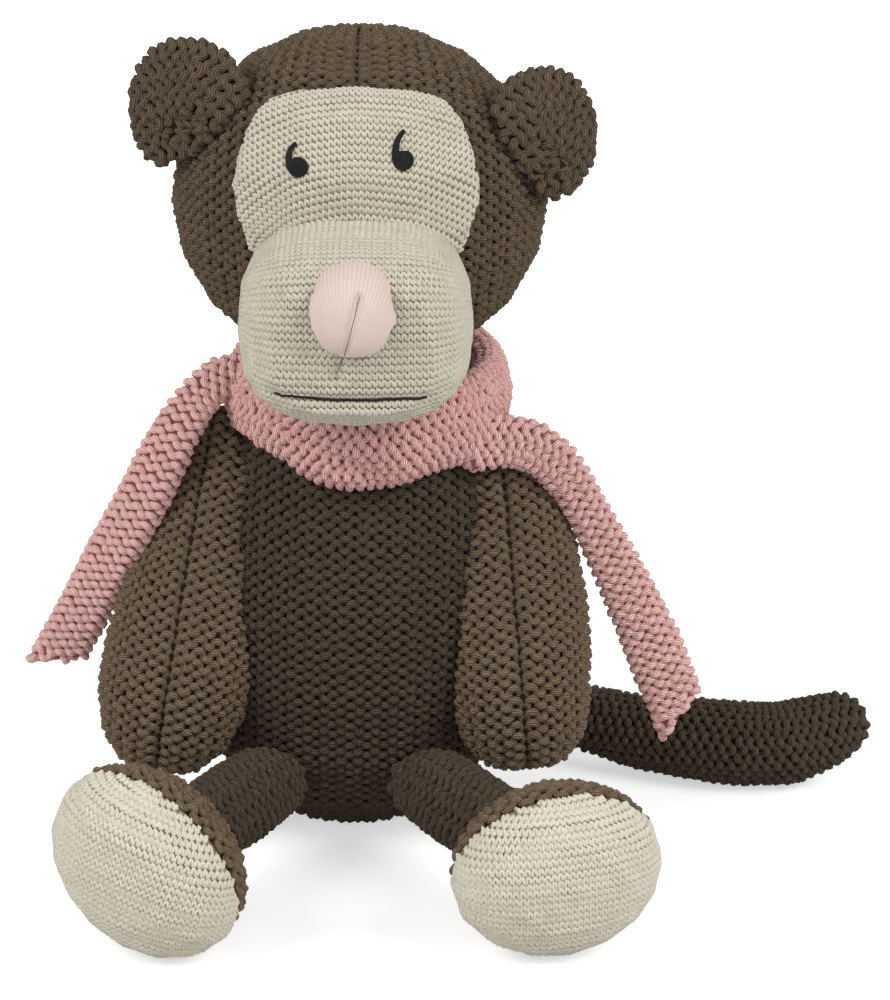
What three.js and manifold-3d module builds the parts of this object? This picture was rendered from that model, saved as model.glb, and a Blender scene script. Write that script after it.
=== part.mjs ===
// A knitted plush monkey that sits with its legs out, a dog toy with a squeaker in its belly.
// Millimetres, +Z up. The monkey looks along -Y, and its own left side is at +X.
// The origin is the middle of the flat that the body sits on.

import * as THREE from "three";
import { mergeVertices } from "three/addons/utils/BufferGeometryUtils.js";
import Module from "manifold-3d";

const wasm = await Module();
wasm.setup();

// Fabrics and sewing
const SEAM_GAP = 0.3; // clearance between pieces sewn against each other
const CHUNKY_KNIT = 2.6; // thickness of the brown and pink fabric
const FINE_KNIT = 1.6; // thickness of the beige fabric
const JERSEY = 1.2; // thickness of the nose fabric
const THREAD_HEIGHT = 0.9; // how far embroidery stands off its fabric
const REST_FLAT = 0.5; // how deep a resting foot or tail is pressed flat
const SWING_STEP = 9; // degrees between the positions that a swinging piece is cleared for

// Body
const BODY_HEIGHT = 173; // before the seat is pressed flat
const SEAT_PRESS = 2.5; // how deep the seat is pressed flat
const BODY_HALF_WIDTH = 58;
const BODY_HALF_DEPTH = 50;
const BODY_TAPER = 0.15; // how much fuller the hips are than the shoulders
const BODY_FULLNESS = 0.85;
const NECK_OPENING_RADIUS = 17;
const NECK_SIDE = 5; // how far the neck leans to the monkey's left
const NECK_CLEARANCE = 1.5; // room round the neck for the head to turn

// Squeaker in the belly
const SQUEAKER_HEIGHT = 78;
const SQUEAKER_RADIUS = 20;
const SQUEAKER_HALF_THICKNESS = 9;
const SQUEAKER_WALL = 1.5;
const REED_RADIUS = 5;
const REED_LENGTH = 6;
const REED_BORE_RADIUS = 1.5;

// Head
const HEAD_HALF_WIDTH = 62.5;
const HEAD_HALF_DEPTH = 56;
const HEAD_HEIGHT = 114;
const HEAD_SINK = 10; // how far the neck reaches into the head
const HEAD_TURN = 25;

// Brow patch
const BROW_PAD = 3.4; // thickness of the padded patch
const BROW_HALF_WIDTH = 39;
const BROW_TOP_HALF_WIDTH = 19;
const BROW_CORNER_HALF_WIDTH = 31;
const BROW_FOOT_HALF_WIDTH = 33;
const BROW_RISE = 42; // height of its top edge above the head's middle
const BROW_CORNER_RISE = 36;
const BROW_WIDEST_RISE = 12;
const BROW_FOOT_DROP = 9;

// Muzzle
const MUZZLE_HALF_WIDTH = 37.5;
const MUZZLE_HALF_HEIGHT = 28.5;
const MUZZLE_REACH = 101; // from the neck's middle to the muzzle's front
const MUZZLE_ROOT = 24; // where its form starts, inside the head
const MUZZLE_DROP = 28; // its middle below the head's middle
const MUZZLE_SQUARENESS = 2.7;
const MUZZLE_FULLNESS = 0.42;

// Nose
const NOSE_RADIUS = 14.5;
const NOSE_LENGTH = 28;
const NOSE_FULLNESS = 0.9;
const NOSE_PROUD = 5.5; // how far it stands out of the muzzle's front
const NOSE_ABOVE_MUZZLE = 13.5; // its middle above the muzzle's middle

// Embroidery
const EYE_RADIUS = 3.1;
const LASH_WIDTH = 2;
// The lash's root, bow and tip, across and up from the dot's middle
const LASH_ROOT = [-2.2, -1.2];
const LASH_BOW = [-4, 5];
const LASH_TIP = [0, 10];
const LEFT_EYE_SPREAD = 15.2;
const RIGHT_EYE_SPREAD = 18.4;
const LEFT_EYE_RISE = 23.4;
const RIGHT_EYE_RISE = 21.2;
const MOUTH_HALF_WIDTH = 24;
const MOUTH_SAG = 3;
const MOUTH_BELOW_MUZZLE = 14; // its ends below the muzzle's middle
const MOUTH_WIDTH = 1.2;
const NOSE_STITCH_WIDTH = 1.4;
const NOSE_STITCH_LENGTH = 28;
const NOSE_STITCH_LEAN = 7.5;
const NOSE_STITCH_RISE = 7; // its top above the nose's middle

// Ears
const EAR_LENGTH = 40;
const EAR_HALF_HEIGHT = 22.5;
const EAR_HALF_THICKNESS = 7.5;
const EAR_FULLNESS = 0.8;
const EAR_FOLD = 20;
const LEFT_EAR_RISE = 25;
const RIGHT_EAR_RISE = 34.5;
const EAR_ROOT_FORWARD = 24; // root ahead of the head's middle
const LEFT_EAR_SINK = 10; // how far the ear's form starts inside the head
const RIGHT_EAR_SINK = 7;
const EAR_SWEEP_BACK = 24; // degrees that an ear leans back from straight sideways

// Arms
const LEFT_ARM_BELOW_NECK = 33; // the arm's top below the neck's top
const RIGHT_ARM_BELOW_NECK = 25;
const LEFT_ARM_DROP = 108; // from the arm's top down to its end
const RIGHT_ARM_DROP = 117;
const LEFT_ARM_TOP_SPREAD = 51;
const RIGHT_ARM_TOP_SPREAD = 44;
const LEFT_ARM_END_SPREAD = 60.5;
const RIGHT_ARM_END_SPREAD = 63.5;
const ARM_TOP_FORWARD = 8;
const ARM_END_FORWARD = 42;
const ARM_HALF_WIDTH = 22.5;
const ARM_HALF_DEPTH = 19;
const ARM_TAPER = -0.42;
const ARM_FULLNESS = 0.72;
const ARM_SWING = 45;
const SHOULDER_DROP = 13; // the shoulder pivot below the arm's top

// Legs and feet
const HIP_SPREAD = 20;
const HIP_SINK = 12; // how far the leg's form starts inside the body's front
const HIP_HEIGHT = 29;
const LEG_RADIUS = 14.5;
const LEG_TAPER = 0.08;
const LEG_FULLNESS = 0.3;
const LEG_LIFT = 30;
const LEG_FALL = 15;
const LEFT_FOOT_SPREAD = 68;
const RIGHT_FOOT_SPREAD = 60;
const FOOT_FORWARD = 117;
const FOOT_HALF_LENGTH = 35;
const FOOT_HALF_WIDTH = 29;
const FOOT_DEPTH = 42;
const FOOT_FULLNESS = 0.75;
const SOLE_SEAM_AHEAD = 7; // sole seam ahead of the foot's middle
const LEFT_FOOT_TURN = 14;
const RIGHT_FOOT_TURN = 22;
const LEFT_FOOT_ROLL = 5;
const RIGHT_FOOT_ROLL = 38;

// Tail
const TAIL_RADIUS = 14;
const TAIL_TAPER = -0.45;
const TAIL_FULLNESS = 0.6;
const TAIL_ROOT_SIDE = 26;
const TAIL_ROOT_HEIGHT = 30;
const TAIL_SINK = 2.2; // how far the tail's form starts inside the body's back
const TAIL_REACH = 157; // sideways from the root to the tip
const TAIL_TIP_LIFT = 7; // how far the tip rises off the floor
const TAIL_SWING = 18;
// Where the tail lies, seen from above: sideways and backwards from its root
const TAIL_ROUTE = [
  [33, 16],
  [66, 0],
  [100, -14],
  [126, -18],
  [TAIL_REACH, -6],
];

// Scarf
const SCARF_HALF_WIDTH = 10.2;
const SCARF_HALF_THICKNESS = 4.6;
const SCARF_FULLNESS = 0.3;
const WRAP_HALF_HEIGHT = 16;
const WRAP_HALF_THICKNESS = 8;
const WRAP_HALF_WIDTH = 41; // middle of the band from the loop's middle
const WRAP_HALF_DEPTH = 44;
const WRAP_SIDE = 2; // the loop's middle to the left of the neck's
const WRAP_BELOW_NECK = 19.5; // the loop's middle below the neck's top
const WRAP_DIP = 5; // how much lower the loop hangs in front
const SCARF_SWING = 30;
const LEFT_SCARF_BACK = -20; // depth that the left end hangs at
const RIGHT_SCARF_BACK = -9;
const LEFT_SCARF_RISE = -9; // where the left end leaves the loop, above the loop's middle
const RIGHT_SCARF_RISE = 9;
// How the ends fall: outwards and downwards from where they leave the loop
const LEFT_SCARF_FALL = [
  [19, 7],
  [34, 34],
  [50, 65],
  [65, 115],
];
const RIGHT_SCARF_FALL = [
  [15, 0],
  [24, 26],
  [35, 53],
  [70, 107],
];

const CUT_REACH = 400; // size of the blocks that cut flats, past the object on every side

const X = new THREE.Vector3(1, 0, 0);
const Y = new THREE.Vector3(0, 1, 0);
const Z = new THREE.Vector3(0, 0, 1);
const point = (x, y, z) => new THREE.Vector3(x, y, z);
const radians = THREE.MathUtils.degToRad;

// Solids

function toSolid(geometry) {
  const bare = geometry.clone();
  bare.deleteAttribute("normal");
  bare.deleteAttribute("uv");
  const merged = mergeVertices(bare, 1e-4);
  const vertProperties = new Float32Array(merged.getAttribute("position").array);
  const triVerts = new Uint32Array(merged.getIndex().array);
  return new wasm.Manifold(new wasm.Mesh({ numProp: 3, vertProperties, triVerts }));
}

function toGeometry(solid) {
  const { vertProperties, triVerts } = solid.getMesh();
  const geometry = new THREE.BufferGeometry();
  geometry.setAttribute("position", new THREE.BufferAttribute(vertProperties, 3));
  geometry.setIndex(new THREE.BufferAttribute(triVerts, 1));
  geometry.computeVertexNormals();
  return geometry;
}

// The largest of the bodies that a cut leaves
function mainBody(solid) {
  const bodies = solid.decompose();
  return bodies.reduce((best, body) => (body.volume() > best.volume() ? body : best));
}

function block(low, high) {
  const size = high.clone().sub(low);
  const middle = high.clone().add(low).multiplyScalar(0.5);
  return toSolid(new THREE.BoxGeometry(size.x, size.y, size.z).translate(middle.x, middle.y, middle.z));
}

const FLOOR = block(point(-CUT_REACH, -CUT_REACH, -CUT_REACH), point(CUT_REACH, CUT_REACH, 0));

const swellOf = (taper, fullness) => (angle) => Math.sin(angle) ** fullness * (1 + taper * Math.cos(angle));

// A stuffed bag along a spine. Its half sizes are those at mid-length, a positive taper makes its start
// fuller than its end, and a fullness below 1 makes its ends blunter than an egg's.
function bag({ spine, across, half, taper = 0, fullness = 1, squareness = 2, sides, rings }) {
  const length = spine.getLength();
  const girth = (half[0] + half[1]) / 2;
  const swell = swellOf(taper, fullness);
  const along = (angle) => (length * (1 - Math.cos(angle))) / 2;
  return { spine, across, half, squareness, sides, rings, length, girth, swell, along };
}

function spinePoint(form, distance) {
  const share = THREE.MathUtils.clamp(distance / form.length, 0, 1);
  const tangent = form.spine.getTangentAt(share);
  const overshoot = distance - share * form.length;
  return { centre: form.spine.getPointAt(share).addScaledVector(tangent, overshoot), tangent };
}

function bagRing(form, angle, grow) {
  const nudge = 0.01;
  const outwards = form.along(angle + nudge) - form.along(angle - nudge);
  const narrowing = form.girth * (form.swell(angle - nudge) - form.swell(angle + nudge));
  const slope = Math.hypot(outwards, narrowing);
  const distance = form.along(angle) + (grow * narrowing) / slope;
  const { centre, tangent } = spinePoint(form, distance);
  const side = form.across.clone().addScaledVector(tangent, -form.across.dot(tangent)).normalize();
  const up = tangent.clone().cross(side);
  const [halfSide, halfUp] = form.half.map((size) => size * form.swell(angle) + (grow * outwards) / slope);
  const corner = (value) => Math.sign(value) * Math.abs(value) ** (2 / form.squareness);
  return Array.from({ length: form.sides }, (_, index) => {
    const turn = (2 * Math.PI * index) / form.sides;
    return centre
      .clone()
      .addScaledVector(side, halfSide * corner(Math.cos(turn)))
      .addScaledVector(up, halfUp * corner(Math.sin(turn)));
  });
}

// The bag's outside, or a skin that lies the given distance outside or inside it
function bagSolid(form, grow = 0) {
  const { sides, rings } = form;
  const angleOf = (row) => (Math.PI * (row + 1)) / rings;
  const rows = Array.from({ length: rings - 1 }, (_, row) => bagRing(form, angleOf(row), grow));
  const points = rows.flat();
  points.push(spinePoint(form, -grow).centre, spinePoint(form, form.length + grow).centre);
  const startPole = points.length - 2;
  const endPole = points.length - 1;
  const lastRow = (rings - 2) * sides;
  const faces = [];
  for (let side = 0; side < sides; side += 1) {
    const next = (side + 1) % sides;
    faces.push(startPole, next, side);
    faces.push(endPole, lastRow + side, lastRow + next);
    for (let row = 0; row < lastRow; row += sides) {
      faces.push(row + side, row + next, row + sides + next);
      faces.push(row + side, row + sides + next, row + sides + side);
    }
  }
  const geometry = new THREE.BufferGeometry().setFromPoints(points);
  geometry.setIndex(faces);
  return toSolid(geometry);
}

const cover = (form, thickness) => bagSolid(form).subtract(bagSolid(form, -thickness));
const filling = (form, thickness) => bagSolid(form, -thickness - SEAM_GAP);

// A ring of oval section round an upright axis, dipping in front
function loopSolid({ centre, halfWidth, halfDepth, halfHeight, halfThickness, dip, steps, sides }) {
  const points = [];
  const faces = [];
  for (let step = 0; step < steps; step += 1) {
    const turn = (2 * Math.PI * step) / steps;
    const out = point(Math.cos(turn), Math.sin(turn), 0);
    const middle = point(halfWidth * out.x, halfDepth * out.y, dip * out.y).add(centre);
    for (let side = 0; side < sides; side += 1) {
      const lift = (2 * Math.PI * side) / sides;
      points.push(
        middle
          .clone()
          .addScaledVector(out, halfThickness * Math.cos(lift))
          .addScaledVector(Z, halfHeight * Math.sin(lift)),
      );
      const here = step * sides;
      const ahead = ((step + 1) % steps) * sides;
      const next = (side + 1) % sides;
      faces.push(here + side, ahead + side, ahead + next);
      faces.push(here + side, ahead + next, here + next);
    }
  }
  const geometry = new THREE.BufferGeometry().setFromPoints(points);
  geometry.setIndex(faces);
  return toSolid(geometry);
}

// A hinge of a sewn root: a point on its line, its direction and its limits in degrees
const hinge = (at, axis, low, high) => ({ at, axis: axis.clone().normalize(), low, high });

function swung(solid, joint, degrees) {
  const turn = new THREE.Matrix4().makeRotationAxis(joint.axis, radians(degrees));
  const there = new THREE.Matrix4().makeTranslation(joint.at.x, joint.at.y, joint.at.z);
  const back = new THREE.Matrix4().makeTranslation(-joint.at.x, -joint.at.y, -joint.at.z);
  return solid.transform(there.multiply(turn).multiply(back).elements);
}

function hingeStops(joint) {
  const sweep = joint.high - joint.low;
  const count = Math.ceil(sweep / SWING_STEP);
  return Array.from({ length: count + 1 }, (_, index) => joint.low + (sweep * index) / count);
}

// What is left of a swinging piece that has to miss an obstacle at every stop of its hinge
function clearedWhileSwinging(piece, obstacle, joint) {
  return hingeStops(joint).reduce((left, stop) => left.subtract(swung(obstacle, joint, -stop)), piece);
}

// What is left of a still piece that a swinging obstacle has to miss
function clearedOfSwing(piece, obstacle, joint) {
  return hingeStops(joint).reduce((left, stop) => left.subtract(swung(obstacle, joint, stop)), piece);
}

// A bar whose outline is drawn in the front view, from one depth to another
function frontBar(outline, nearY, farY) {
  const depth = farY - nearY;
  const bar = new THREE.ExtrudeGeometry(outline, { depth, bevelEnabled: false, curveSegments: 6 });
  return toSolid(bar.rotateX(Math.PI / 2).translate(0, farY, 0));
}

// The outline of a stitched line of even width along a curve
function strokeOutline(curve, width, steps) {
  const edge = (offset) =>
    Array.from({ length: steps + 1 }, (_, index) => {
      const share = index / steps;
      const tangent = curve.getTangent(share);
      return curve.getPoint(share).add(new THREE.Vector2(-tangent.y, tangent.x).multiplyScalar(offset));
    });
  return new THREE.Shape([...edge(-width / 2), ...edge(width / 2).reverse()]);
}

// Body

const neck = point(NECK_SIDE, 0, BODY_HEIGHT - SEAT_PRESS);
const bodyForm = bag({
  spine: new THREE.LineCurve3(point(0, 0, -SEAT_PRESS), neck),
  across: X,
  half: [BODY_HALF_WIDTH, BODY_HALF_DEPTH],
  taper: BODY_TAPER,
  fullness: BODY_FULLNESS,
  sides: 20,
  rings: 10,
});
const bodyObstacle = bagSolid(bodyForm, SEAM_GAP);

// The room that the neck takes up at any turn of the head
const neckRoomForm = bag({
  spine: new THREE.LineCurve3(point(neck.x, neck.y, -SEAT_PRESS), neck),
  across: X,
  half: [Math.max(BODY_HALF_WIDTH, BODY_HALF_DEPTH), Math.max(BODY_HALF_WIDTH, BODY_HALF_DEPTH)],
  taper: BODY_TAPER,
  fullness: BODY_FULLNESS,
  sides: 20,
  rings: 10,
});
const neckRoom = bagSolid(neckRoomForm, NECK_CLEARANCE);

function neckPlug() {
  const plug = new THREE.CylinderGeometry(NECK_OPENING_RADIUS, NECK_OPENING_RADIUS, HEAD_HEIGHT, 16);
  return toSolid(plug.rotateX(Math.PI / 2).translate(neck.x, neck.y, neck.z));
}

// A body of revolution whose axis points to the monkey's front
function frontLathe(profile) {
  const outline = profile.map(([radius, ahead]) => new THREE.Vector2(radius, ahead));
  return toSolid(new THREE.LatheGeometry(outline, 14).rotateX(Math.PI));
}

function puckProfile(grow) {
  const radius = SQUEAKER_RADIUS + grow;
  const half = SQUEAKER_HALF_THICKNESS + grow;
  const corner = half / 2;
  const steps = [0, 0.5, 1].map((share) => (share * Math.PI) / 2);
  const rounded = (size, turned) => size - corner * (1 - turned);
  const upper = steps.map((turn) => [rounded(radius, Math.cos(turn)), rounded(half, Math.sin(turn))]);
  const lower = upper.map(([out, ahead]) => [out, -ahead]).reverse();
  return [[0, -half], ...lower, ...upper, [0, half]];
}

const squeakerMiddle = point(0, 0, SQUEAKER_HEIGHT);
const atSqueaker = (solid) => solid.translate(squeakerMiddle.toArray());
const reedBack = SQUEAKER_HALF_THICKNESS - REED_LENGTH;
const reedProfile = [
  [REED_BORE_RADIUS, reedBack],
  [REED_RADIUS, reedBack],
  [REED_RADIUS, SQUEAKER_HALF_THICKNESS],
  [REED_BORE_RADIUS, SQUEAKER_HALF_THICKNESS],
  [REED_BORE_RADIUS, reedBack],
];
const mouthProfile = [
  [0, 0],
  [REED_RADIUS + SEAM_GAP, 0],
  [REED_RADIUS + SEAM_GAP, SQUEAKER_HALF_THICKNESS + SQUEAKER_WALL],
  [0, SQUEAKER_HALF_THICKNESS + SQUEAKER_WALL],
];
const squeakerBulb = frontLathe(puckProfile(0))
  .subtract(frontLathe(puckProfile(-SQUEAKER_WALL)))
  .subtract(frontLathe(mouthProfile));
const squeakerPocket = atSqueaker(frontLathe(puckProfile(SEAM_GAP)));

const bodyFilling = filling(bodyForm, CHUNKY_KNIT).subtract(squeakerPocket);
const cutLow = point(-CUT_REACH, -CUT_REACH, -CUT_REACH);
const cutHigh = point(CUT_REACH, CUT_REACH, CUT_REACH);
const frontHalf = block(cutLow, cutHigh.clone().setY(-SEAM_GAP / 2));
const backHalf = block(cutLow.clone().setY(SEAM_GAP / 2), cutHigh);

// Head

const headMiddle = neck.clone().add(point(0, 0, HEAD_HEIGHT / 2 - HEAD_SINK));
const headForm = bag({
  spine: new THREE.LineCurve3(
    headMiddle.clone().addScaledVector(Z, -HEAD_HEIGHT / 2),
    headMiddle.clone().addScaledVector(Z, HEAD_HEIGHT / 2),
  ),
  across: X,
  half: [HEAD_HALF_WIDTH, HEAD_HALF_DEPTH],
  sides: 20,
  rings: 10,
});
const headTurn = hinge(neck, Z, -HEAD_TURN, HEAD_TURN);
const headObstacle = bagSolid(headForm, SEAM_GAP);
const onNeck = (solid) => mainBody(solid.subtract(neckRoom));

const muzzleMiddle = headMiddle.clone().addScaledVector(Z, -MUZZLE_DROP);
const muzzleForm = bag({
  spine: new THREE.LineCurve3(
    muzzleMiddle.clone().addScaledVector(Y, -MUZZLE_ROOT),
    muzzleMiddle.clone().addScaledVector(Y, -MUZZLE_REACH),
  ),
  across: X,
  half: [MUZZLE_HALF_WIDTH, MUZZLE_HALF_HEIGHT],
  fullness: MUZZLE_FULLNESS,
  squareness: MUZZLE_SQUARENESS,
  sides: 20,
  rings: 8,
});
const muzzleObstacle = bagSolid(muzzleForm, SEAM_GAP);

const noseMiddle = muzzleMiddle.clone().addScaledVector(Z, NOSE_ABOVE_MUZZLE);
const noseReach = MUZZLE_REACH + NOSE_PROUD;
const noseForm = bag({
  spine: new THREE.LineCurve3(
    noseMiddle.clone().addScaledVector(Y, NOSE_LENGTH - noseReach),
    noseMiddle.clone().addScaledVector(Y, -noseReach),
  ),
  across: X,
  half: [NOSE_RADIUS, NOSE_RADIUS],
  fullness: NOSE_FULLNESS,
  sides: 12,
  rings: 7,
});

function browOutline() {
  const { x, z } = headMiddle;
  const rim = [
    [BROW_FOOT_HALF_WIDTH, -BROW_FOOT_DROP],
    [BROW_HALF_WIDTH, BROW_WIDEST_RISE],
    [BROW_CORNER_HALF_WIDTH, BROW_CORNER_RISE],
    [BROW_TOP_HALF_WIDTH, BROW_RISE],
    [-BROW_TOP_HALF_WIDTH, BROW_RISE],
    [-BROW_CORNER_HALF_WIDTH, BROW_CORNER_RISE],
    [-BROW_HALF_WIDTH, BROW_WIDEST_RISE],
    [-BROW_FOOT_HALF_WIDTH, -BROW_FOOT_DROP],
  ].map(([across, up]) => new THREE.Vector3(x + across, z + up, 0));
  const curve = new THREE.CatmullRomCurve3(rim, false, "centripetal");
  return new THREE.Shape(curve.getPoints(20).map((place) => new THREE.Vector2(place.x, place.y)));
}

const browTop = bagSolid(headForm, BROW_PAD);
const browBar = frontBar(browOutline(), -MUZZLE_REACH, 0);
const browPanel = browBar.intersect(browTop).subtract(headObstacle).subtract(muzzleObstacle);

// Thread laid on a surface: the layer between two skins of it, inside a bar drawn from the front
const laidThread = (bar, skin) => bar.intersect(skin(SEAM_GAP + THREAD_HEIGHT)).subtract(skin(SEAM_GAP));
const browSkin = (grow) => bagSolid(headForm, BROW_PAD + grow);
const muzzleSkin = (grow) => bagSolid(muzzleForm, grow);
const faceSkin = (grow) => muzzleSkin(grow).add(bagSolid(noseForm, grow));

function eyeStitch(across, rise) {
  const middle = new THREE.Vector2(headMiddle.x + across, headMiddle.z + rise);
  const dot = new THREE.Shape().absarc(middle.x, middle.y, EYE_RADIUS, 0, 2 * Math.PI);
  const lash = new THREE.QuadraticBezierCurve(
    middle.clone().add(new THREE.Vector2(...LASH_ROOT)),
    middle.clone().add(new THREE.Vector2(...LASH_BOW)),
    middle.clone().add(new THREE.Vector2(...LASH_TIP)),
  );
  const bar = frontBar(dot, -MUZZLE_REACH, -BROW_PAD).add(
    frontBar(strokeOutline(lash, LASH_WIDTH, 5), -MUZZLE_REACH, -BROW_PAD),
  );
  return laidThread(bar, browSkin);
}

function mouthStitch() {
  const { x, z } = muzzleMiddle;
  const height = z - MOUTH_BELOW_MUZZLE;
  const line = new THREE.QuadraticBezierCurve(
    new THREE.Vector2(x - MOUTH_HALF_WIDTH, height),
    new THREE.Vector2(x, height - 2 * MOUTH_SAG),
    new THREE.Vector2(x + MOUTH_HALF_WIDTH, height),
  );
  const bar = frontBar(strokeOutline(line, MOUTH_WIDTH, 16), -noseReach - NOSE_RADIUS, -HEAD_HALF_DEPTH);
  return laidThread(bar, muzzleSkin);
}

function noseStitch() {
  const top = new THREE.Vector2(noseMiddle.x + NOSE_STITCH_LEAN / 2, noseMiddle.z + NOSE_STITCH_RISE);
  const low = top.clone().add(new THREE.Vector2(-NOSE_STITCH_LEAN, -NOSE_STITCH_LENGTH));
  const line = new THREE.LineCurve(top, low);
  const outline = strokeOutline(line, NOSE_STITCH_WIDTH, 10);
  const bar = frontBar(outline, -noseReach - NOSE_RADIUS, -HEAD_HALF_DEPTH);
  return mainBody(laidThread(bar, faceSkin));
}

const onHead = (solid) => mainBody(solid.subtract(headObstacle));
const onMuzzle = (solid) => mainBody(solid.subtract(muzzleObstacle));

// Ears

function ear(side, rise, sink) {
  const leanBack = radians(EAR_SWEEP_BACK);
  const out = point(side * Math.cos(leanBack), Math.sin(leanBack), 0);
  const flank = Math.sqrt(1 - (rise / (HEAD_HEIGHT / 2)) ** 2 - (EAR_ROOT_FORWARD / HEAD_HALF_DEPTH) ** 2);
  const root = headMiddle.clone().add(point(side * flank * HEAD_HALF_WIDTH, -EAR_ROOT_FORWARD, rise));
  const start = root.clone().addScaledVector(out, -sink);
  const form = bag({
    spine: new THREE.LineCurve3(start, start.clone().addScaledVector(out, EAR_LENGTH)),
    across: Z,
    half: [EAR_HALF_HEIGHT, EAR_HALF_THICKNESS],
    fullness: EAR_FULLNESS,
    sides: 12,
    rings: 7,
  });
  const joint = hinge(root, Z.clone().multiplyScalar(side), -EAR_FOLD, EAR_FOLD);
  const cut = (solid) => mainBody(clearedWhileSwinging(solid, headObstacle, joint));
  return { pivot: root, cover: cut(cover(form, CHUNKY_KNIT)), stuffing: cut(filling(form, CHUNKY_KNIT)) };
}

const leftEar = ear(1, LEFT_EAR_RISE, LEFT_EAR_SINK);
const rightEar = ear(-1, RIGHT_EAR_RISE, RIGHT_EAR_SINK);

// Scarf loop

const wrapMiddle = neck.clone().add(point(WRAP_SIDE, 0, -WRAP_BELOW_NECK));
const wrapShape = (grow) =>
  loopSolid({
    centre: wrapMiddle,
    halfWidth: WRAP_HALF_WIDTH,
    halfDepth: WRAP_HALF_DEPTH,
    halfHeight: WRAP_HALF_HEIGHT + grow,
    halfThickness: WRAP_HALF_THICKNESS + grow,
    dip: WRAP_DIP,
    steps: 24,
    sides: 8,
  });
const turningHead = headObstacle.add(muzzleObstacle);
const scarfWrap = mainBody(clearedOfSwing(wrapShape(0), turningHead, headTurn).subtract(bodyObstacle));
const torsoObstacle = bodyObstacle.add(wrapShape(SEAM_GAP));

// Arms

function arm({ side, belowNeck, drop, topSpread, endSpread }) {
  const top = point(side * topSpread, -ARM_TOP_FORWARD, neck.z - belowNeck);
  const end = point(side * endSpread, -ARM_END_FORWARD, top.z - drop);
  const form = bag({
    spine: new THREE.LineCurve3(top, end),
    across: X,
    half: [ARM_HALF_WIDTH, ARM_HALF_DEPTH],
    taper: ARM_TAPER,
    fullness: ARM_FULLNESS,
    sides: 14,
    rings: 10,
  });
  const pivot = top.clone().addScaledVector(Z, -SHOULDER_DROP);
  const joint = hinge(pivot, X.clone().negate(), 0, ARM_SWING);
  const cut = (solid) => mainBody(clearedWhileSwinging(solid, torsoObstacle, joint));
  return {
    pivot,
    joint,
    obstacle: bagSolid(form, SEAM_GAP),
    cover: cut(cover(form, CHUNKY_KNIT)),
    stuffing: cut(filling(form, CHUNKY_KNIT)),
  };
}

const leftArm = arm({
  side: 1,
  belowNeck: LEFT_ARM_BELOW_NECK,
  drop: LEFT_ARM_DROP,
  topSpread: LEFT_ARM_TOP_SPREAD,
  endSpread: LEFT_ARM_END_SPREAD,
});
const rightArm = arm({
  side: -1,
  belowNeck: RIGHT_ARM_BELOW_NECK,
  drop: RIGHT_ARM_DROP,
  topSpread: RIGHT_ARM_TOP_SPREAD,
  endSpread: RIGHT_ARM_END_SPREAD,
});

// Legs and feet

function leg(side, footSpread, turnDegrees, rollDegrees) {
  const turn = radians(turnDegrees);
  const roll = radians(side * rollDegrees);
  const ahead = point(side * Math.sin(turn), -Math.cos(turn), 0);
  const level = point(Math.cos(turn), side * Math.sin(turn), 0);
  const long = level.clone().multiplyScalar(Math.cos(roll)).addScaledVector(Z, Math.sin(roll));
  const halfHeight = Math.hypot(FOOT_HALF_LENGTH * Math.sin(roll), FOOT_HALF_WIDTH * Math.cos(roll));
  const footMiddle = point(side * footSpread, -FOOT_FORWARD, halfHeight - REST_FLAT);
  const footForm = bag({
    spine: new THREE.LineCurve3(
      footMiddle.clone().addScaledVector(ahead, -FOOT_DEPTH / 2),
      footMiddle.clone().addScaledVector(ahead, FOOT_DEPTH / 2),
    ),
    across: long,
    half: [FOOT_HALF_LENGTH, FOOT_HALF_WIDTH],
    fullness: FOOT_FULLNESS,
    sides: 16,
    rings: 8,
  });
  const hip = point(side * HIP_SPREAD, HIP_SINK - BODY_HALF_DEPTH, HIP_HEIGHT);
  const legForm = bag({
    spine: new THREE.LineCurve3(hip, footMiddle),
    across: Z,
    half: [LEG_RADIUS, LEG_RADIUS],
    taper: LEG_TAPER,
    fullness: LEG_FULLNESS,
    sides: 12,
    rings: 5,
  });
  const hingeLine = footMiddle.clone().sub(hip).setZ(0).cross(Z).negate();
  const joint = hinge(hip, hingeLine.multiplyScalar(Math.sign(hingeLine.x)), -LEG_LIFT, LEG_FALL);
  const footObstacle = bagSolid(footForm, SEAM_GAP);
  const onBody = (solid) => mainBody(clearedWhileSwinging(solid, bodyObstacle, joint));
  const seam = footMiddle.clone().addScaledVector(ahead, SOLE_SEAM_AHEAD);
  const aheadOf = (gap) => {
    const slab = new THREE.BoxGeometry(CUT_REACH, CUT_REACH, CUT_REACH).translate(0, -CUT_REACH / 2 - gap, 0);
    slab.rotateZ(side * turn);
    return toSolid(slab.translate(seam.x, seam.y, seam.z));
  };
  const footCover = cover(footForm, CHUNKY_KNIT).subtract(FLOOR);
  const soleCover = cover(footForm, FINE_KNIT).subtract(FLOOR);
  const ankle = bagSolid(legForm, -CHUNKY_KNIT);
  return {
    pivot: hip,
    cover: onBody(cover(legForm, CHUNKY_KNIT).subtract(footObstacle)),
    stuffing: onBody(filling(legForm, CHUNKY_KNIT).subtract(footObstacle)),
    footCover: mainBody(footCover.subtract(aheadOf(0)).subtract(ankle)),
    sole: mainBody(soleCover.intersect(aheadOf(SEAM_GAP))),
    footStuffing: filling(footForm, CHUNKY_KNIT),
  };
}

const leftLeg = leg(1, LEFT_FOOT_SPREAD, LEFT_FOOT_TURN, LEFT_FOOT_ROLL);
const rightLeg = leg(-1, RIGHT_FOOT_SPREAD, RIGHT_FOOT_TURN, RIGHT_FOOT_ROLL);

// Tail

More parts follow.
